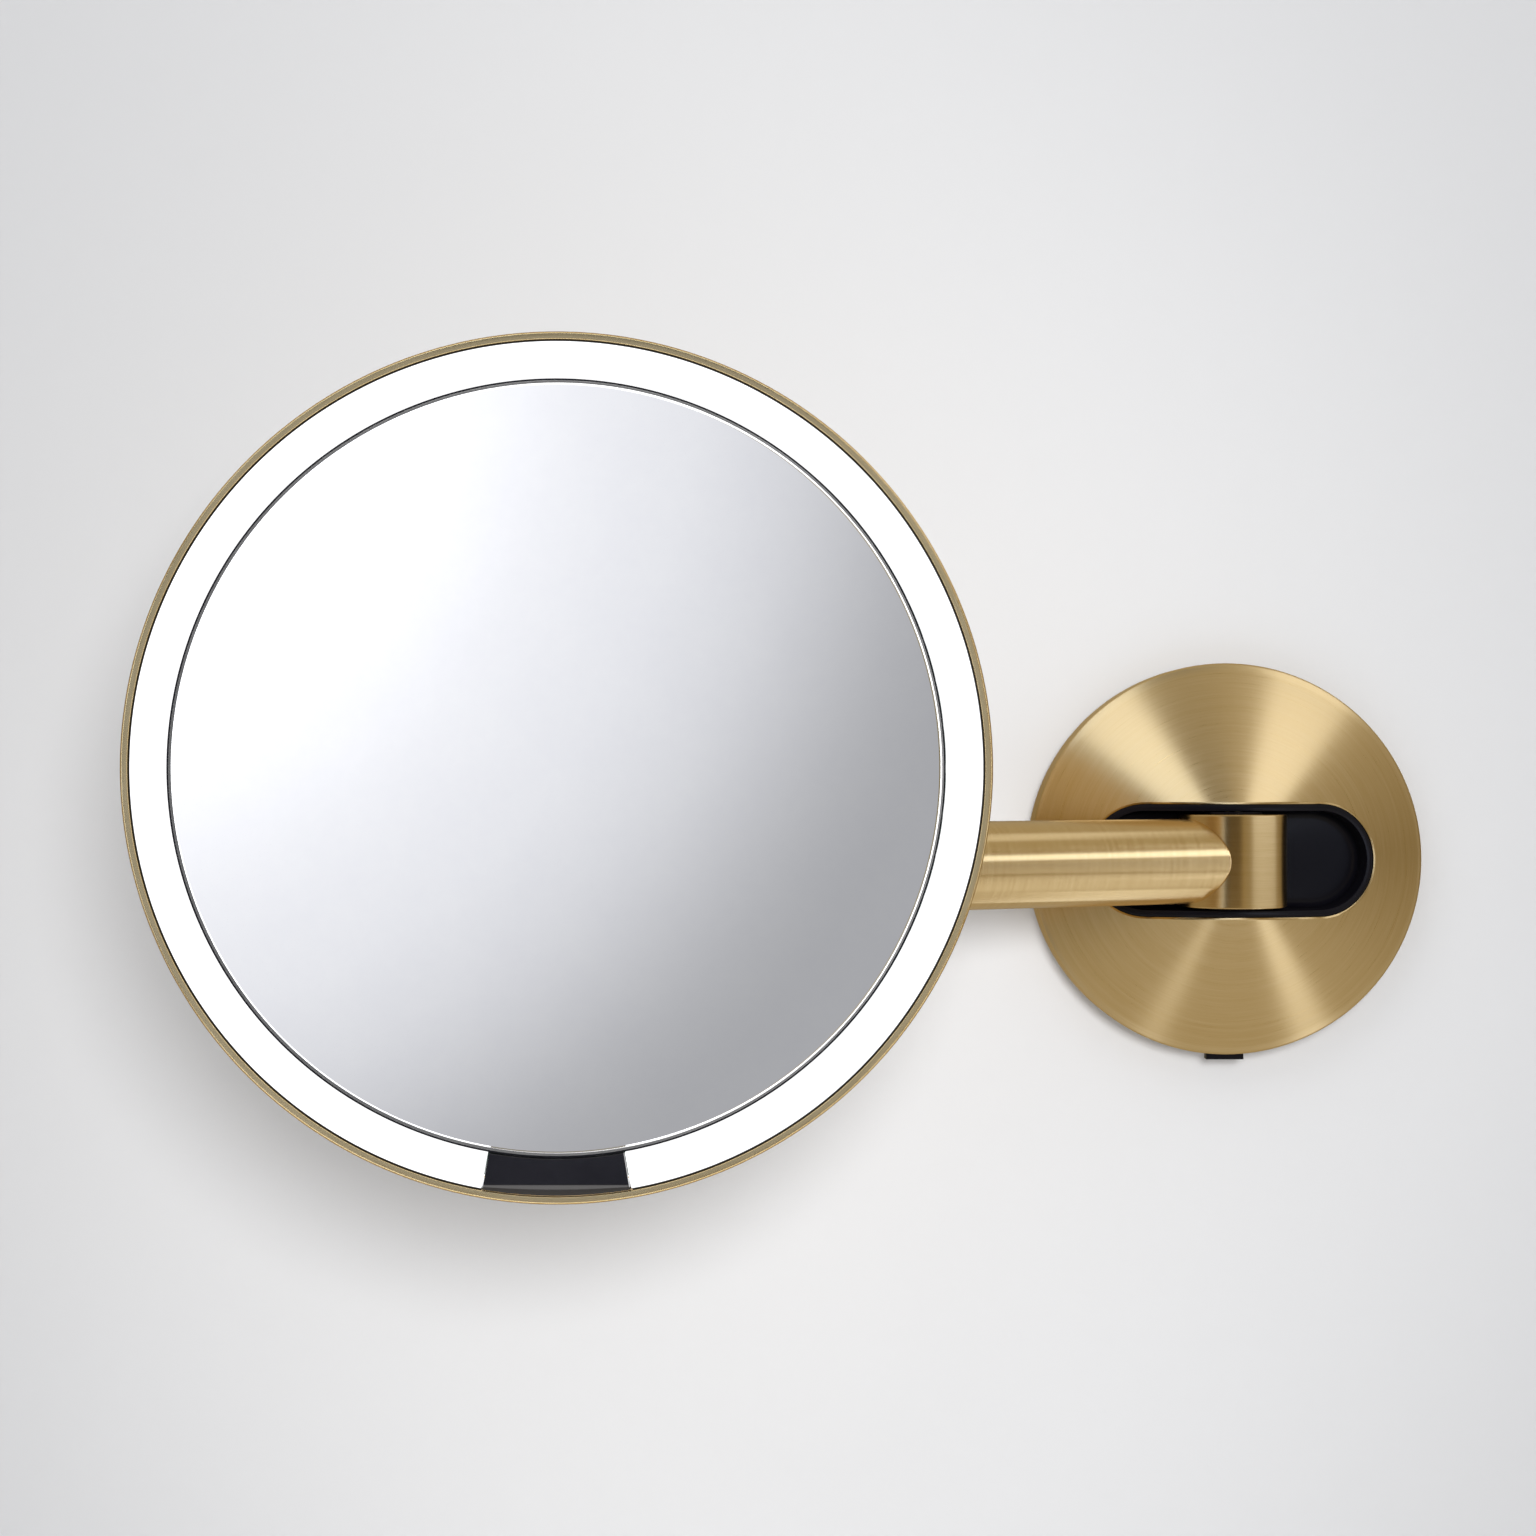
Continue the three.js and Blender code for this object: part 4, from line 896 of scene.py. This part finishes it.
# %% The lit ring, open at the bottom for the window
def turned_arc(name, profile, first, last, sides):
    """A closed profile turned through part of a circle, with its two ends closed."""
    rings = [circle(r, z, sides, first, last) for r, z in profile]
    bm = skin(rings, round_ring=False)
    bm.verts.ensure_lookup_table()
    for angle in (first, last):
        along, across = Vector((cos(angle), sin(angle), 0)), Vector((-sin(angle), cos(angle), 0))
        ends = [v for v in bm.verts if abs(v.co.dot(across)) < 1e-7 and v.co.dot(along) > 0]
        loop = [e for e in bm.edges if e.is_boundary and e.verts[0] in ends and e.verts[1] in ends]
        bmesh.ops.contextual_create(bm, geom=loop)
    return to_object(name, bm, HEAD)


WINDOW_HALF = radians(10)
RING_INNER = BEZEL_RADIUS + 0.3
DIFFUSER_FRONT = 1.2
DIFFUSER_BACK = DIFFUSER_FRONT + 3
SKIRT_END = depths_mm("light_ring")[1]
SKIRT_BORE = RING_OUTER - 1.6
diffuser_profile = rounded([
    (RING_INNER, -DIFFUSER_FRONT, 0.25), (ROLL_START, -DIFFUSER_FRONT, 0.0),
    (RING_OUTER - 1.1, -DIFFUSER_FRONT - 0.18, 0), (RING_OUTER - 0.4, -DIFFUSER_FRONT - 0.6, 0),
    (RING_OUTER, -DIFFUSER_FRONT - 1.4, 0), (RING_OUTER, -SKIRT_END, 0), (SKIRT_BORE, -SKIRT_END, 0),
    (SKIRT_BORE, -DIFFUSER_BACK, 0), (RING_INNER, -DIFFUSER_BACK, 0),
])
opening_half = WINDOW_HALF + 0.3 / RING_INNER
first, last = -pi / 2 + opening_half, 3 * pi / 2 - opening_half
ring = turned_arc("opal_light_ring", diffuser_profile, first, last, 240)
stand_for(ring, "light_ring", lit_diffuser)

# %% [markdown]
# The window is one dark glossy moulding. Its lowest part slopes back to the rim, and that facet catches
# a lighter reflection than the rest.

# %% The sensor window
BAND = 3.0
SLOPE = tan(radians(22))
WINDOW_FRONT, WINDOW_BACK = 1.0, 4.2
WINDOW_EDGE = 0.18
WINDOW_COLUMNS = 48


def window_point(turn, radius, inset_depth=0.0):
    x, z = radius * sin(turn), -radius * cos(turn)
    sloped = max((-RING_OUTER + BAND) - z, 0)
    return x, z, -WINDOW_FRONT - inset_depth - sloped * SLOPE


def smoked_window():
    turns = [WINDOW_HALF * (2 * i / WINDOW_COLUMNS - 1) for i in range(WINDOW_COLUMNS + 1)]
    inset = WINDOW_EDGE / RING_OUTER
    face_turns = [max(-WINDOW_HALF + inset, min(WINDOW_HALF - inset, t)) for t in turns]
    crease = [(RING_OUTER - BAND) / cos(t) for t in face_turns]
    rows = [
        [(*window_point(t, RING_INNER)[:2], -WINDOW_BACK) for t in turns],
        [window_point(t, RING_INNER, WINDOW_EDGE) for t in turns],
        [window_point(t, RING_INNER + WINDOW_EDGE) for t in face_turns],
        [window_point(t, c - 0.15) for t, c in zip(face_turns, crease)],
        [window_point(t, c + 0.02) for t, c in zip(face_turns, crease)],
        [window_point(t, RING_OUTER - WINDOW_EDGE) for t in face_turns],
        [window_point(t, RING_OUTER, WINDOW_EDGE) for t in turns],
        [(*window_point(t, RING_OUTER)[:2], -WINDOW_BACK) for t in turns],
    ]
    bm = skin(rows, round_ring=False)
    bmesh.ops.holes_fill(bm, edges=[e for e in bm.edges if e.is_boundary], sides=len(rows))
    return to_object("smoked_sensor_window", bm, HEAD)


stand_for(smoked_window(), "sensor_window", black_gloss)

# %% The brass rim
HEAD_RADIUS = size_mm("rim_ring").x / 2
RIM_FRONT, RIM_BACK = depths_mm("rim_ring")
RIM_BORE = RING_OUTER + 0.3
rim = turned("rolled_rim_ring", rounded([
    (RIM_BORE, -RIM_FRONT, 0.35), (HEAD_RADIUS, -RIM_FRONT, 0.75), (HEAD_RADIUS, -RIM_BACK, 0.3),
    (RIM_BORE, -RIM_BACK, 0),
], 5), HEAD, 320)
stand_for(rim, "rim_ring", rim_brass)

# %% [markdown]
# ## Back of the head
# The rear cover is spun like the plate, with a rounded shoulder. It has openings for the charging socket
# and the switch, four screws, and the bracket that the tilt pin runs through.

# %% The rear cover
HEAD_DEPTH = depths_mm("rear_cover")[1]
COVER_WALL = 2.0
COVER_SIDE = HEAD_RADIUS - 0.5
COVER_INSIDE = RIM_BORE - 2.1
COVER_FILLET = 6.0
RIM_LAP = 2.4
CLEARANCE = 0.3
fillet = [
    (COVER_SIDE - COVER_FILLET * (1 - sin(radians(a))), -HEAD_DEPTH + COVER_FILLET * (1 - cos(radians(a))))
    for a in range(0, 91, 10)
]
flat_rings = [(r, -HEAD_DEPTH) for r in (0, 27, 54, 81)]
cover = turned("spun_rear_cover", [
    *flat_rings, *fillet, (COVER_SIDE, -RIM_BACK - 2 * CLEARANCE),
    (COVER_SIDE - CLEARANCE, -RIM_BACK - CLEARANCE), (RIM_BORE - CLEARANCE, -RIM_BACK - CLEARANCE),
    (RIM_BORE - CLEARANCE, -RIM_BACK + RIM_LAP), (COVER_INSIDE, -RIM_BACK + RIM_LAP),
    (COVER_INSIDE, -HEAD_DEPTH + 5), (COVER_INSIDE - 4, -HEAD_DEPTH + COVER_WALL),
    (0, -HEAD_DEPTH + COVER_WALL),
], HEAD, 256)


def head_place(node):
    """A node's middle across the head, in millimetres from its centre."""
    spot = centre(node) - tilt_axis
    return spot.x / MM, spot.z / MM


def opening(node, extra_x, shift_x, radius):
    (x, z), size = head_place(node), size_mm(node)
    half_x, half_z = size.x / 2 + extra_x, size.z / 2 + CLEARANCE
    return block("opening", (x + shift_x - half_x, x + shift_x + half_x), (z - half_z, z + half_z),
                 (-HEAD_DEPTH - 3, -HEAD_DEPTH + 3), radius, HEAD)


switch_travel = joints["power_switch_slide"]["range_m"][1] / MM
boolean(cover, [
    opening("charge_socket", 0.6, 0.0, 1.2),
    opening("power_switch", 0.6 + switch_travel / 2, switch_travel / 2, 0.6),
], "DIFFERENCE")
stand_for(cover, "rear_cover", cover_brass)

# %% The hub bracket: a disc with two ears
HUB_RADIUS = size_mm("hub_bracket").x / 2
PIVOT_DEPTH = (tilt_axis.y - glass_y) / MM
HUB_FRONT = depths_mm("hub_bracket")[0]
HUB_BACK = HUB_FRONT + 3.0
EAR_RADIUS = 8.0
EAR_INSIDE, EAR_WALL = LUG_HALF + 1.6, 4.0
hub = turned("hub_bracket_disc", rounded([
    (0, -HUB_FRONT, 0), (HUB_RADIUS, -HUB_FRONT, 0.2), (HUB_RADIUS, -HUB_BACK, 0.8), (0, -HUB_BACK, 0)
]), HEAD, 128)
EAR_FRAME = standing(tilt_axis, (0, 0, 1), (1, 0, 0))


def ear(side):
    """A round-ended ear that reaches forward from the pivot to the disc."""
    inner, outer = sorted((side * EAR_INSIDE, side * (EAR_INSIDE + EAR_WALL)))
    foot = PIVOT_DEPTH - HUB_BACK + 1.0
    outline = [(-EAR_RADIUS, foot), (EAR_RADIUS, foot)] + half_circle(EAR_RADIUS, -1)
    return bevelled(prism("ear", outline, inner, outer, EAR_FRAME), 0.6)


boolean(hub, [ear(1), ear(-1)], "UNION")
stand_for(hub, "hub_bracket", cast_brass)

# %% [markdown]
# ## Fixings
# Pan-head screws have a domed head with a hexagonal socket. The nuts are hexagons with turned-down
# corners, and the tilt pin has a domed head.

# %% Screws
def hexagon(radius):
    return [(radius * cos(pi * i / 3), radius * sin(pi * i / 3)) for i in range(6)]


def pan_screw(name, node, outwards):
    """A screw along Y whose head faces outwards, 1 towards the back or -1 towards the room."""
    low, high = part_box(node)
    size = (high - low) / MM
    head, length = size.x / 2, size.y
    tall = head * 0.55
    tip = Vector((centre(node).x, low.y if outwards > 0 else high.y, centre(node).z))
    place = standing(tip, (1, 0, 0), (0, outwards, 0))
    shank = head * 0.44
    profile = [(0, 0), (shank * 0.7, 0), (shank, 0.6), (shank, length - tall), (head - 0.1, length - tall),
               (head, length - tall + 0.15), (head, length - tall * 0.55), (head * 0.9, length - tall * 0.2),
               (head * 0.7, length - tall * 0.04), (head * 0.5, length), (0, length)]
    made = turned(name, profile, place, 48)
    socket = prism("socket", hexagon(head * 0.42), length - tall * 0.7, length + 1, place)
    boolean(made, [socket], "DIFFERENCE")
    stand_for(made, node, steel)


for i in range(1, 5):
    pan_screw(f"cover_pan_screw_{i}", f"cover_screw_{i}", 1)
    pan_screw(f"liner_pan_screw_{i}", f"liner_screw_{i}", -1)
for i in (1, 2):
    pan_screw(f"hub_pan_screw_{i}", f"hub_screw_{i}", 1)


# %% Nuts and the tilt pin
def hex_nut(name, node, axis, bore):
    low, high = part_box(node)
    size = (high - low) / MM
    height = abs(size.dot(Vector(axis)))
    side = max(size) / 2
    start = centre(node) - Vector(axis) * height / 2 * MM
    place = standing(start, (0, 1, 0), axis)
    nut = prism(name, hexagon(side), 0, height, place)
    turn_down = turned("turned corners", [
        (0, 0), (side * 0.87, 0), (side, side * 0.07),
        (side, height - side * 0.07), (side * 0.87, height), (0, height),
    ], place, 64)
    thread = turned("thread", [(0, -1), (bore, -1), (bore, height + 1), (0, height + 1)], place, 48)
    boolean(nut, [turn_down], "INTERSECT")
    boolean(nut, [thread], "DIFFERENCE")
    stand_for(nut, node, steel)


hex_nut("hex_post_nut", "post_nut", (0, 0, 1), POST_RADIUS + 0.3)
hex_nut("hex_tilt_nut", "tilt_nut", (1, 0, 0), 3.3)
pin_low, pin_high = (corner - tilt_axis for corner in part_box("tilt_pin"))
PIN_RADIUS, CAP_RADIUS, CAP_TALL = 3.0, 5.0, 2.2
pin_start, pin_end = pin_low.x / MM, pin_high.x / MM
pin = turned("domed_tilt_pin", [
    (0, pin_start), (CAP_RADIUS * 0.5, pin_start + 0.12), (CAP_RADIUS * 0.8, pin_start + 0.5),
    (CAP_RADIUS * 0.96, pin_start + 1.1), (CAP_RADIUS, pin_start + 1.7), (CAP_RADIUS, pin_start + CAP_TALL),
    (PIN_RADIUS, pin_start + CAP_TALL), (PIN_RADIUS, pin_end - 0.6), (PIN_RADIUS - 0.6, pin_end),
    (0, pin_end),
], ACROSS, 64)
stand_for(pin, "tilt_pin", steel)

# %% [markdown]
# ## The pieces that keep their plain shape
# What is hidden, flat or plain needs no finer shape: the housing, brackets, pins, washers, bushes, boards,
# foam and battery. Each only gets its real finish.

# %% Finishes for the remaining solids
KEPT = {
    steel: ["hinge_pin", "post_washer"],
    zinc_sheet: ["wall_bracket", "release_spring", "plate_grub_screw_1", "plate_grub_screw_2",
                 "charge_socket", "hub_plate"],
    bush_plastic: ["hinge_upper_bush", "hinge_lower_bush",
                   "collar_bush", "guide_bush", "knuckle_upper_bush", "knuckle_lower_bush",
                   "left_friction_disc", "right_friction_disc"],
    black_plastic: ["base_housing", "power_switch", "upper_thrust_washer", "lower_thrust_washer"],
    foam: ["wall_gasket", "mirror_backing"],
    circuit_board: ["led_board", "sensor_board", "control_board"],
    battery_wrap: ["battery_pack"],
}
for material, nodes in KEPT.items():
    for name in nodes:
        kept = frame["nodes"][name]
        kept.data.materials.clear()
        kept.data.materials.append(material)
print("kept", sum(len(nodes) for nodes in KEPT.values()), "plain solids")

# %% [markdown]
# ## Room and light
# A wall in pale paint stands behind the mirror and a floor in pale paint below it. Their colour is lightest
# in the middle and darker away from it, a painted pool of light. Both are seen from their front only, so
# that a view from behind isn't blocked. Brushed metal shows what stands around it, drawn out into streaks
# and bands.
# So the light has two parts: soft lights that only fall on matt surfaces, and panels that are only seen as
# reflections, each placed where its reflection has to fall.


# %% The wall and the floor
def one_sided(name, lit_middle_tone, darkest, reach_across, reach_up):
    """Matt paint with a painted pool of light, lightest in its middle and darker away from it, and clear
    from behind.
    """
    material, tree, shader = new_material(name)
    shader.inputs["Roughness"].default_value = 0.9
    shader.inputs["Specular IOR Level"].default_value = 0.1
    x, y = apart(tree, place_on_piece(tree))[:2]
    across = calculate(tree, "DIVIDE", x, reach_across)
    up = calculate(tree, "DIVIDE", y, reach_up)
    away = distance_from_axis(tree, across, up)
    # Painted light: the colour fades from the lit middle to darker edges, a pool of light painted on the
    # surface.
    fade = add_node(tree, "ShaderNodeMapRange", {"Value": away}, interpolation_type="SMOOTHSTEP")
    feed(tree, shader.inputs["Base Color"], blend_colours(tree, fade.outputs["Result"], lit_middle_tone, darkest))
    clear = add_node(tree, "ShaderNodeBsdfTransparent")
    behind = add_node(tree, "ShaderNodeNewGeometry").outputs["Backfacing"]
    either = add_node(tree, "ShaderNodeMixShader", {0: behind, 1: shader.outputs[0], 2: clear.outputs[0]})
    feed(tree, tree.nodes["Material Output"].inputs["Surface"], either.outputs[0])
    return material


def sheet(name, width, height, place, material):
    x, y = width / 2, height / 2
    mesh = bpy.data.meshes.new(name)
    mesh.from_pydata([(-x, -y, 0), (x, -y, 0), (x, y, 0), (-x, y, 0)], [], [(0, 1, 2, 3)])
    made = add_object(name, mesh)
    made.matrix_world = place
    made.data.materials.append(material)
    made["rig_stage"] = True
    return made


FLOOR_LEVEL = -0.36
LIGHT_POOL_HEIGHT = -0.1
middle_of_object = (cad_low + cad_high) / 2
wall = sheet("wall", 6, 4, standing((camera.location.x, 0.001, LIGHT_POOL_HEIGHT), (1, 0, 0), ROOM),
             one_sided("pale wall with painted light pool", (0.916, 0.92, 0.93, 1), (0.656, 0.66, 0.672, 1), 0.36, 0.62))
floor = sheet("floor", 6, 6, standing((camera.location.x, -3, FLOOR_LEVEL), (1, 0, 0), UP),
              one_sided("pale floor with painted light pool", (0.8, 0.8, 0.8, 1), (0.7, 0.7, 0.7, 1), 3, 3))
for surface in (wall, floor):
    surface.visible_glossy = False

# %% The card that the glass reflects: white at the upper left, grey at the lower right
CARD_AWAY = 2.0
CARD_SIZE = 2.6
WHITE_PLACE = (-0.729, 0.417)
CARD_BRIGHTNESS = 1.2374
CARD_TINT = (0.985, 0.99, 1.02)
GREYS = [(0.30, 1.0), (0.45, 0.94), (0.568, 0.80), (0.709, 0.696), (0.787, 0.635), (0.867, 0.522),
         (0.951, 0.391), (1.037, 0.335)]
card_paint = bpy.data.materials.new("graded card")
card_paint.use_nodes = True
tree = card_paint.node_tree
tree.nodes.clear()
from_white = add_node(tree, "ShaderNodeVectorMath", {0: place_on_piece(tree)}, operation="LENGTH")
ramp = add_node(tree, "ShaderNodeValToRGB")
ramp.color_ramp.interpolation = "B_SPLINE"
for i, (away, grey) in enumerate(GREYS):
    stop = ramp.color_ramp.elements[i] if i < 2 else ramp.color_ramp.elements.new(away / CARD_SIZE)
    stop.position = away / CARD_SIZE
    stop.color = (*(grey * share for share in CARD_TINT), 1)
feed(tree, ramp.inputs[0], calculate(tree, "DIVIDE", from_white.outputs["Value"], CARD_SIZE))
glow = add_node(tree, "ShaderNodeEmission", {0: ramp.outputs[0], 1: CARD_BRIGHTNESS})
add_node(tree, "ShaderNodeOutputMaterial", {0: glow.outputs[0]})
card = sheet("graded card", CARD_SIZE, CARD_SIZE, standing(
    (tilt_axis.x + WHITE_PLACE[0], glass_y - CARD_AWAY, tilt_axis.z + WHITE_PLACE[1]),
    (-1, 0, 0), (0, 1, 0)), card_paint)
card.visible_camera = False
card.visible_shadow = False
card.visible_diffuse = False


def shine_only_on(light, nodes):
    """Limits a light to the pieces that stand for some nodes."""
    receivers = bpy.data.collections.new(light.name + " receivers")
    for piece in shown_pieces():
        if set(piece.get("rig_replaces", [])) & set(nodes):
            receivers.objects.link(piece)
    light.light_linking.receiver_collection = receivers


shine_only_on(card, ["mirror_glass"])


# %% Soft lights for the matt surfaces
def area_light(name, shape, size, power):
    data = bpy.data.lights.new(name, "AREA")
    data.shape, data.size, data.energy = shape, size, power
    made = add_object(name, data)
    made.visible_camera = False
    return made


def soft_light(name, place, size, power):
    made = area_light(name, "DISK", size, power)
    made.location = place
    made.rotation_mode = "QUATERNION"
    made.rotation_quaternion = (place - middle_of_object).to_track_quat("Z", "Y")
    made.visible_glossy = False


soft_light("front", camera.location + Vector((0.12, -0.35, 0.16)), 0.3, 7.5)
soft_light("above", middle_of_object + Vector((-0.5, -0.9, 1.1)), 1.2, 5)
soft_light("behind", middle_of_object + Vector((0.3, 1.4, 0.7)), 1.4, 14)


# %% Panels that the metal mirrors
def towards(azimuth, elevation):
    """A direction from the object. Azimuth is from straight in front towards +X, in degrees."""
    a, e = radians(azimuth), radians(elevation)
    return Vector((sin(a) * cos(e), -cos(a) * cos(e), sin(e)))


def mirrored_in_plate(clock, slope):
    """Where the camera looks after a reflection in the plate's cone, at a clock angle from +X."""
    a, s = radians(clock), radians(slope)
    normal = Vector((sin(s) * cos(a), -cos(s), sin(s) * sin(a)))
    view = (barrel_axis - camera.location).normalized()
    return view - 2 * view.dot(normal) * normal


COOL = (0.66, 0.76, 1.0)


def panel(nodes, name, direction, long_axis, width, length, brightness, colour=COOL, away=1.7):
    """A rectangular panel facing the object, seen by some nodes only; brightness is its radiance."""
    made = area_light(name, "RECTANGLE", width, brightness * pi * width * length)
    made.data.size_y = length
    made.data.color = colour
    x_axis = long_axis.cross(direction).normalized()
    made.matrix_world = standing(middle_of_object + direction * away, x_axis, direction)
    made.visible_diffuse = False
    shine_only_on(made, nodes)
    return made


def upright_panel(nodes, name, azimuth, elevation, width, height, brightness):
    out = towards(azimuth, elevation)
    panel(nodes, name, out, out.cross(UP).cross(out), width, height, brightness)


CONE_SLOPE = 24
PLATE_STREAKS = [("upper left", 126, 0.62, 2.4), ("upper right", 59, 0.62, 1.75),
                 ("lower left", 252, 0.16, 0.9), ("lower right", 300, 0.24, 1.5)]
for name, clock, width, brightness in PLATE_STREAKS:
    out = mirrored_in_plate(clock, CONE_SLOPE)
    along = mirrored_in_plate(clock, CONE_SLOPE + 4) - mirrored_in_plate(clock, CONE_SLOPE - 4)
    panel(["wall_plate"], f"streak {name}", out, along, width, 1.0, brightness)

ARM_NODES = ["arm_barrel", "outer_tube", "tube_collar", "inner_tube", "end_knuckle", "swivel_post"]
ARM_PANELS = [("side band", 66, 17, 1.9, 0.38, 1.9), ("side fill", 66, -6, 1.9, 0.85, 0.4),
              ("side low", 70, -42, 1.1, 1.15, 0.5), ("below", 122, -57, 0.9, 0.2, 2.0),
              ("side high", 90, 60, 0.8, 0.3, 0.85), ("front left", -43, 0, 1.0, 1.1, 1.5)]
for row in ARM_PANELS:
    upright_panel(ARM_NODES, *row)
AMBER = (1.0, 0.62, 0.16)
panel(["arm_barrel"], "front", towards(2, -8), UP, 1.1, 0.9, 0.12, AMBER)
upright_panel(["wall_plate"], "slot edge", 11, -3, 0.5, 0.5, 4.0)
upright_panel(["outer_tube"], "saddle edge", 92, 0, 0.3, 2.0, 3.5)

SHEEN_AWAY = 0.16
sheen = panel(["pocket_liner"], "pocket sheen", towards(28, -8), UP, 0.05, 0.05, 3.0, away=SHEEN_AWAY)
sheen.location += barrel_axis - middle_of_object

HEAD_NODES = ["rim_ring", "rear_cover", "hub_bracket", "glass_bezel"]
HEAD_PANELS = [("rim front", -5, 0, 1.3, 1.1, 0.62), ("rear left", -150, 20, 1.0, 0.8, 1.2),
               ("rear right", 140, 30, 1.2, 0.8, 1.4)]
for row in HEAD_PANELS:
    upright_panel(HEAD_NODES, *row)
NEAR_WHITE = (1, 0.99, 1)
panel(["sensor_window"], "window facet", towards(-5, -46), UP, 0.9, 0.6, 1.2, NEAR_WHITE)

HALO_TILT = 42
for clock in range(0, 360, 45):
    out = towards(HALO_TILT * cos(radians(clock)), HALO_TILT * sin(radians(clock)))
    panel(["rim_ring"], f"rim halo {clock}", out, out.cross(ROOM).normalized(), 0.45, 0.85, 1.9)

# %% The air of the room: one tone for matt surfaces, another in the metal, a third behind everything
world = bpy.data.worlds.new("pale room")
world.use_nodes = True
tree = world.node_tree
path = add_node(tree, "ShaderNodeLightPath")
direction = add_node(tree, "ShaderNodeTexCoord").outputs["Generated"]
upwards = calculate(tree, "ABSOLUTE", apart(tree, direction)[2])
steep = calculate(tree, "MULTIPLY", upwards, 1.5, clamp=True)
in_metal = blend_colours(tree, steep, (0.24, 0.19, 0.10, 1), (0.46, 0.415, 0.33, 1))
on_matt = blend_colours(tree, path.outputs["Is Glossy Ray"], (0.40, 0.40, 0.403, 1), in_metal)
shown = blend_colours(tree, path.outputs["Is Camera Ray"], on_matt, (0.76, 0.76, 0.765, 1))
feed(tree, tree.nodes["Background"].inputs["Color"], shown)
bpy.context.scene.world = world
bpy.context.scene.view_settings.view_transform = "Standard"
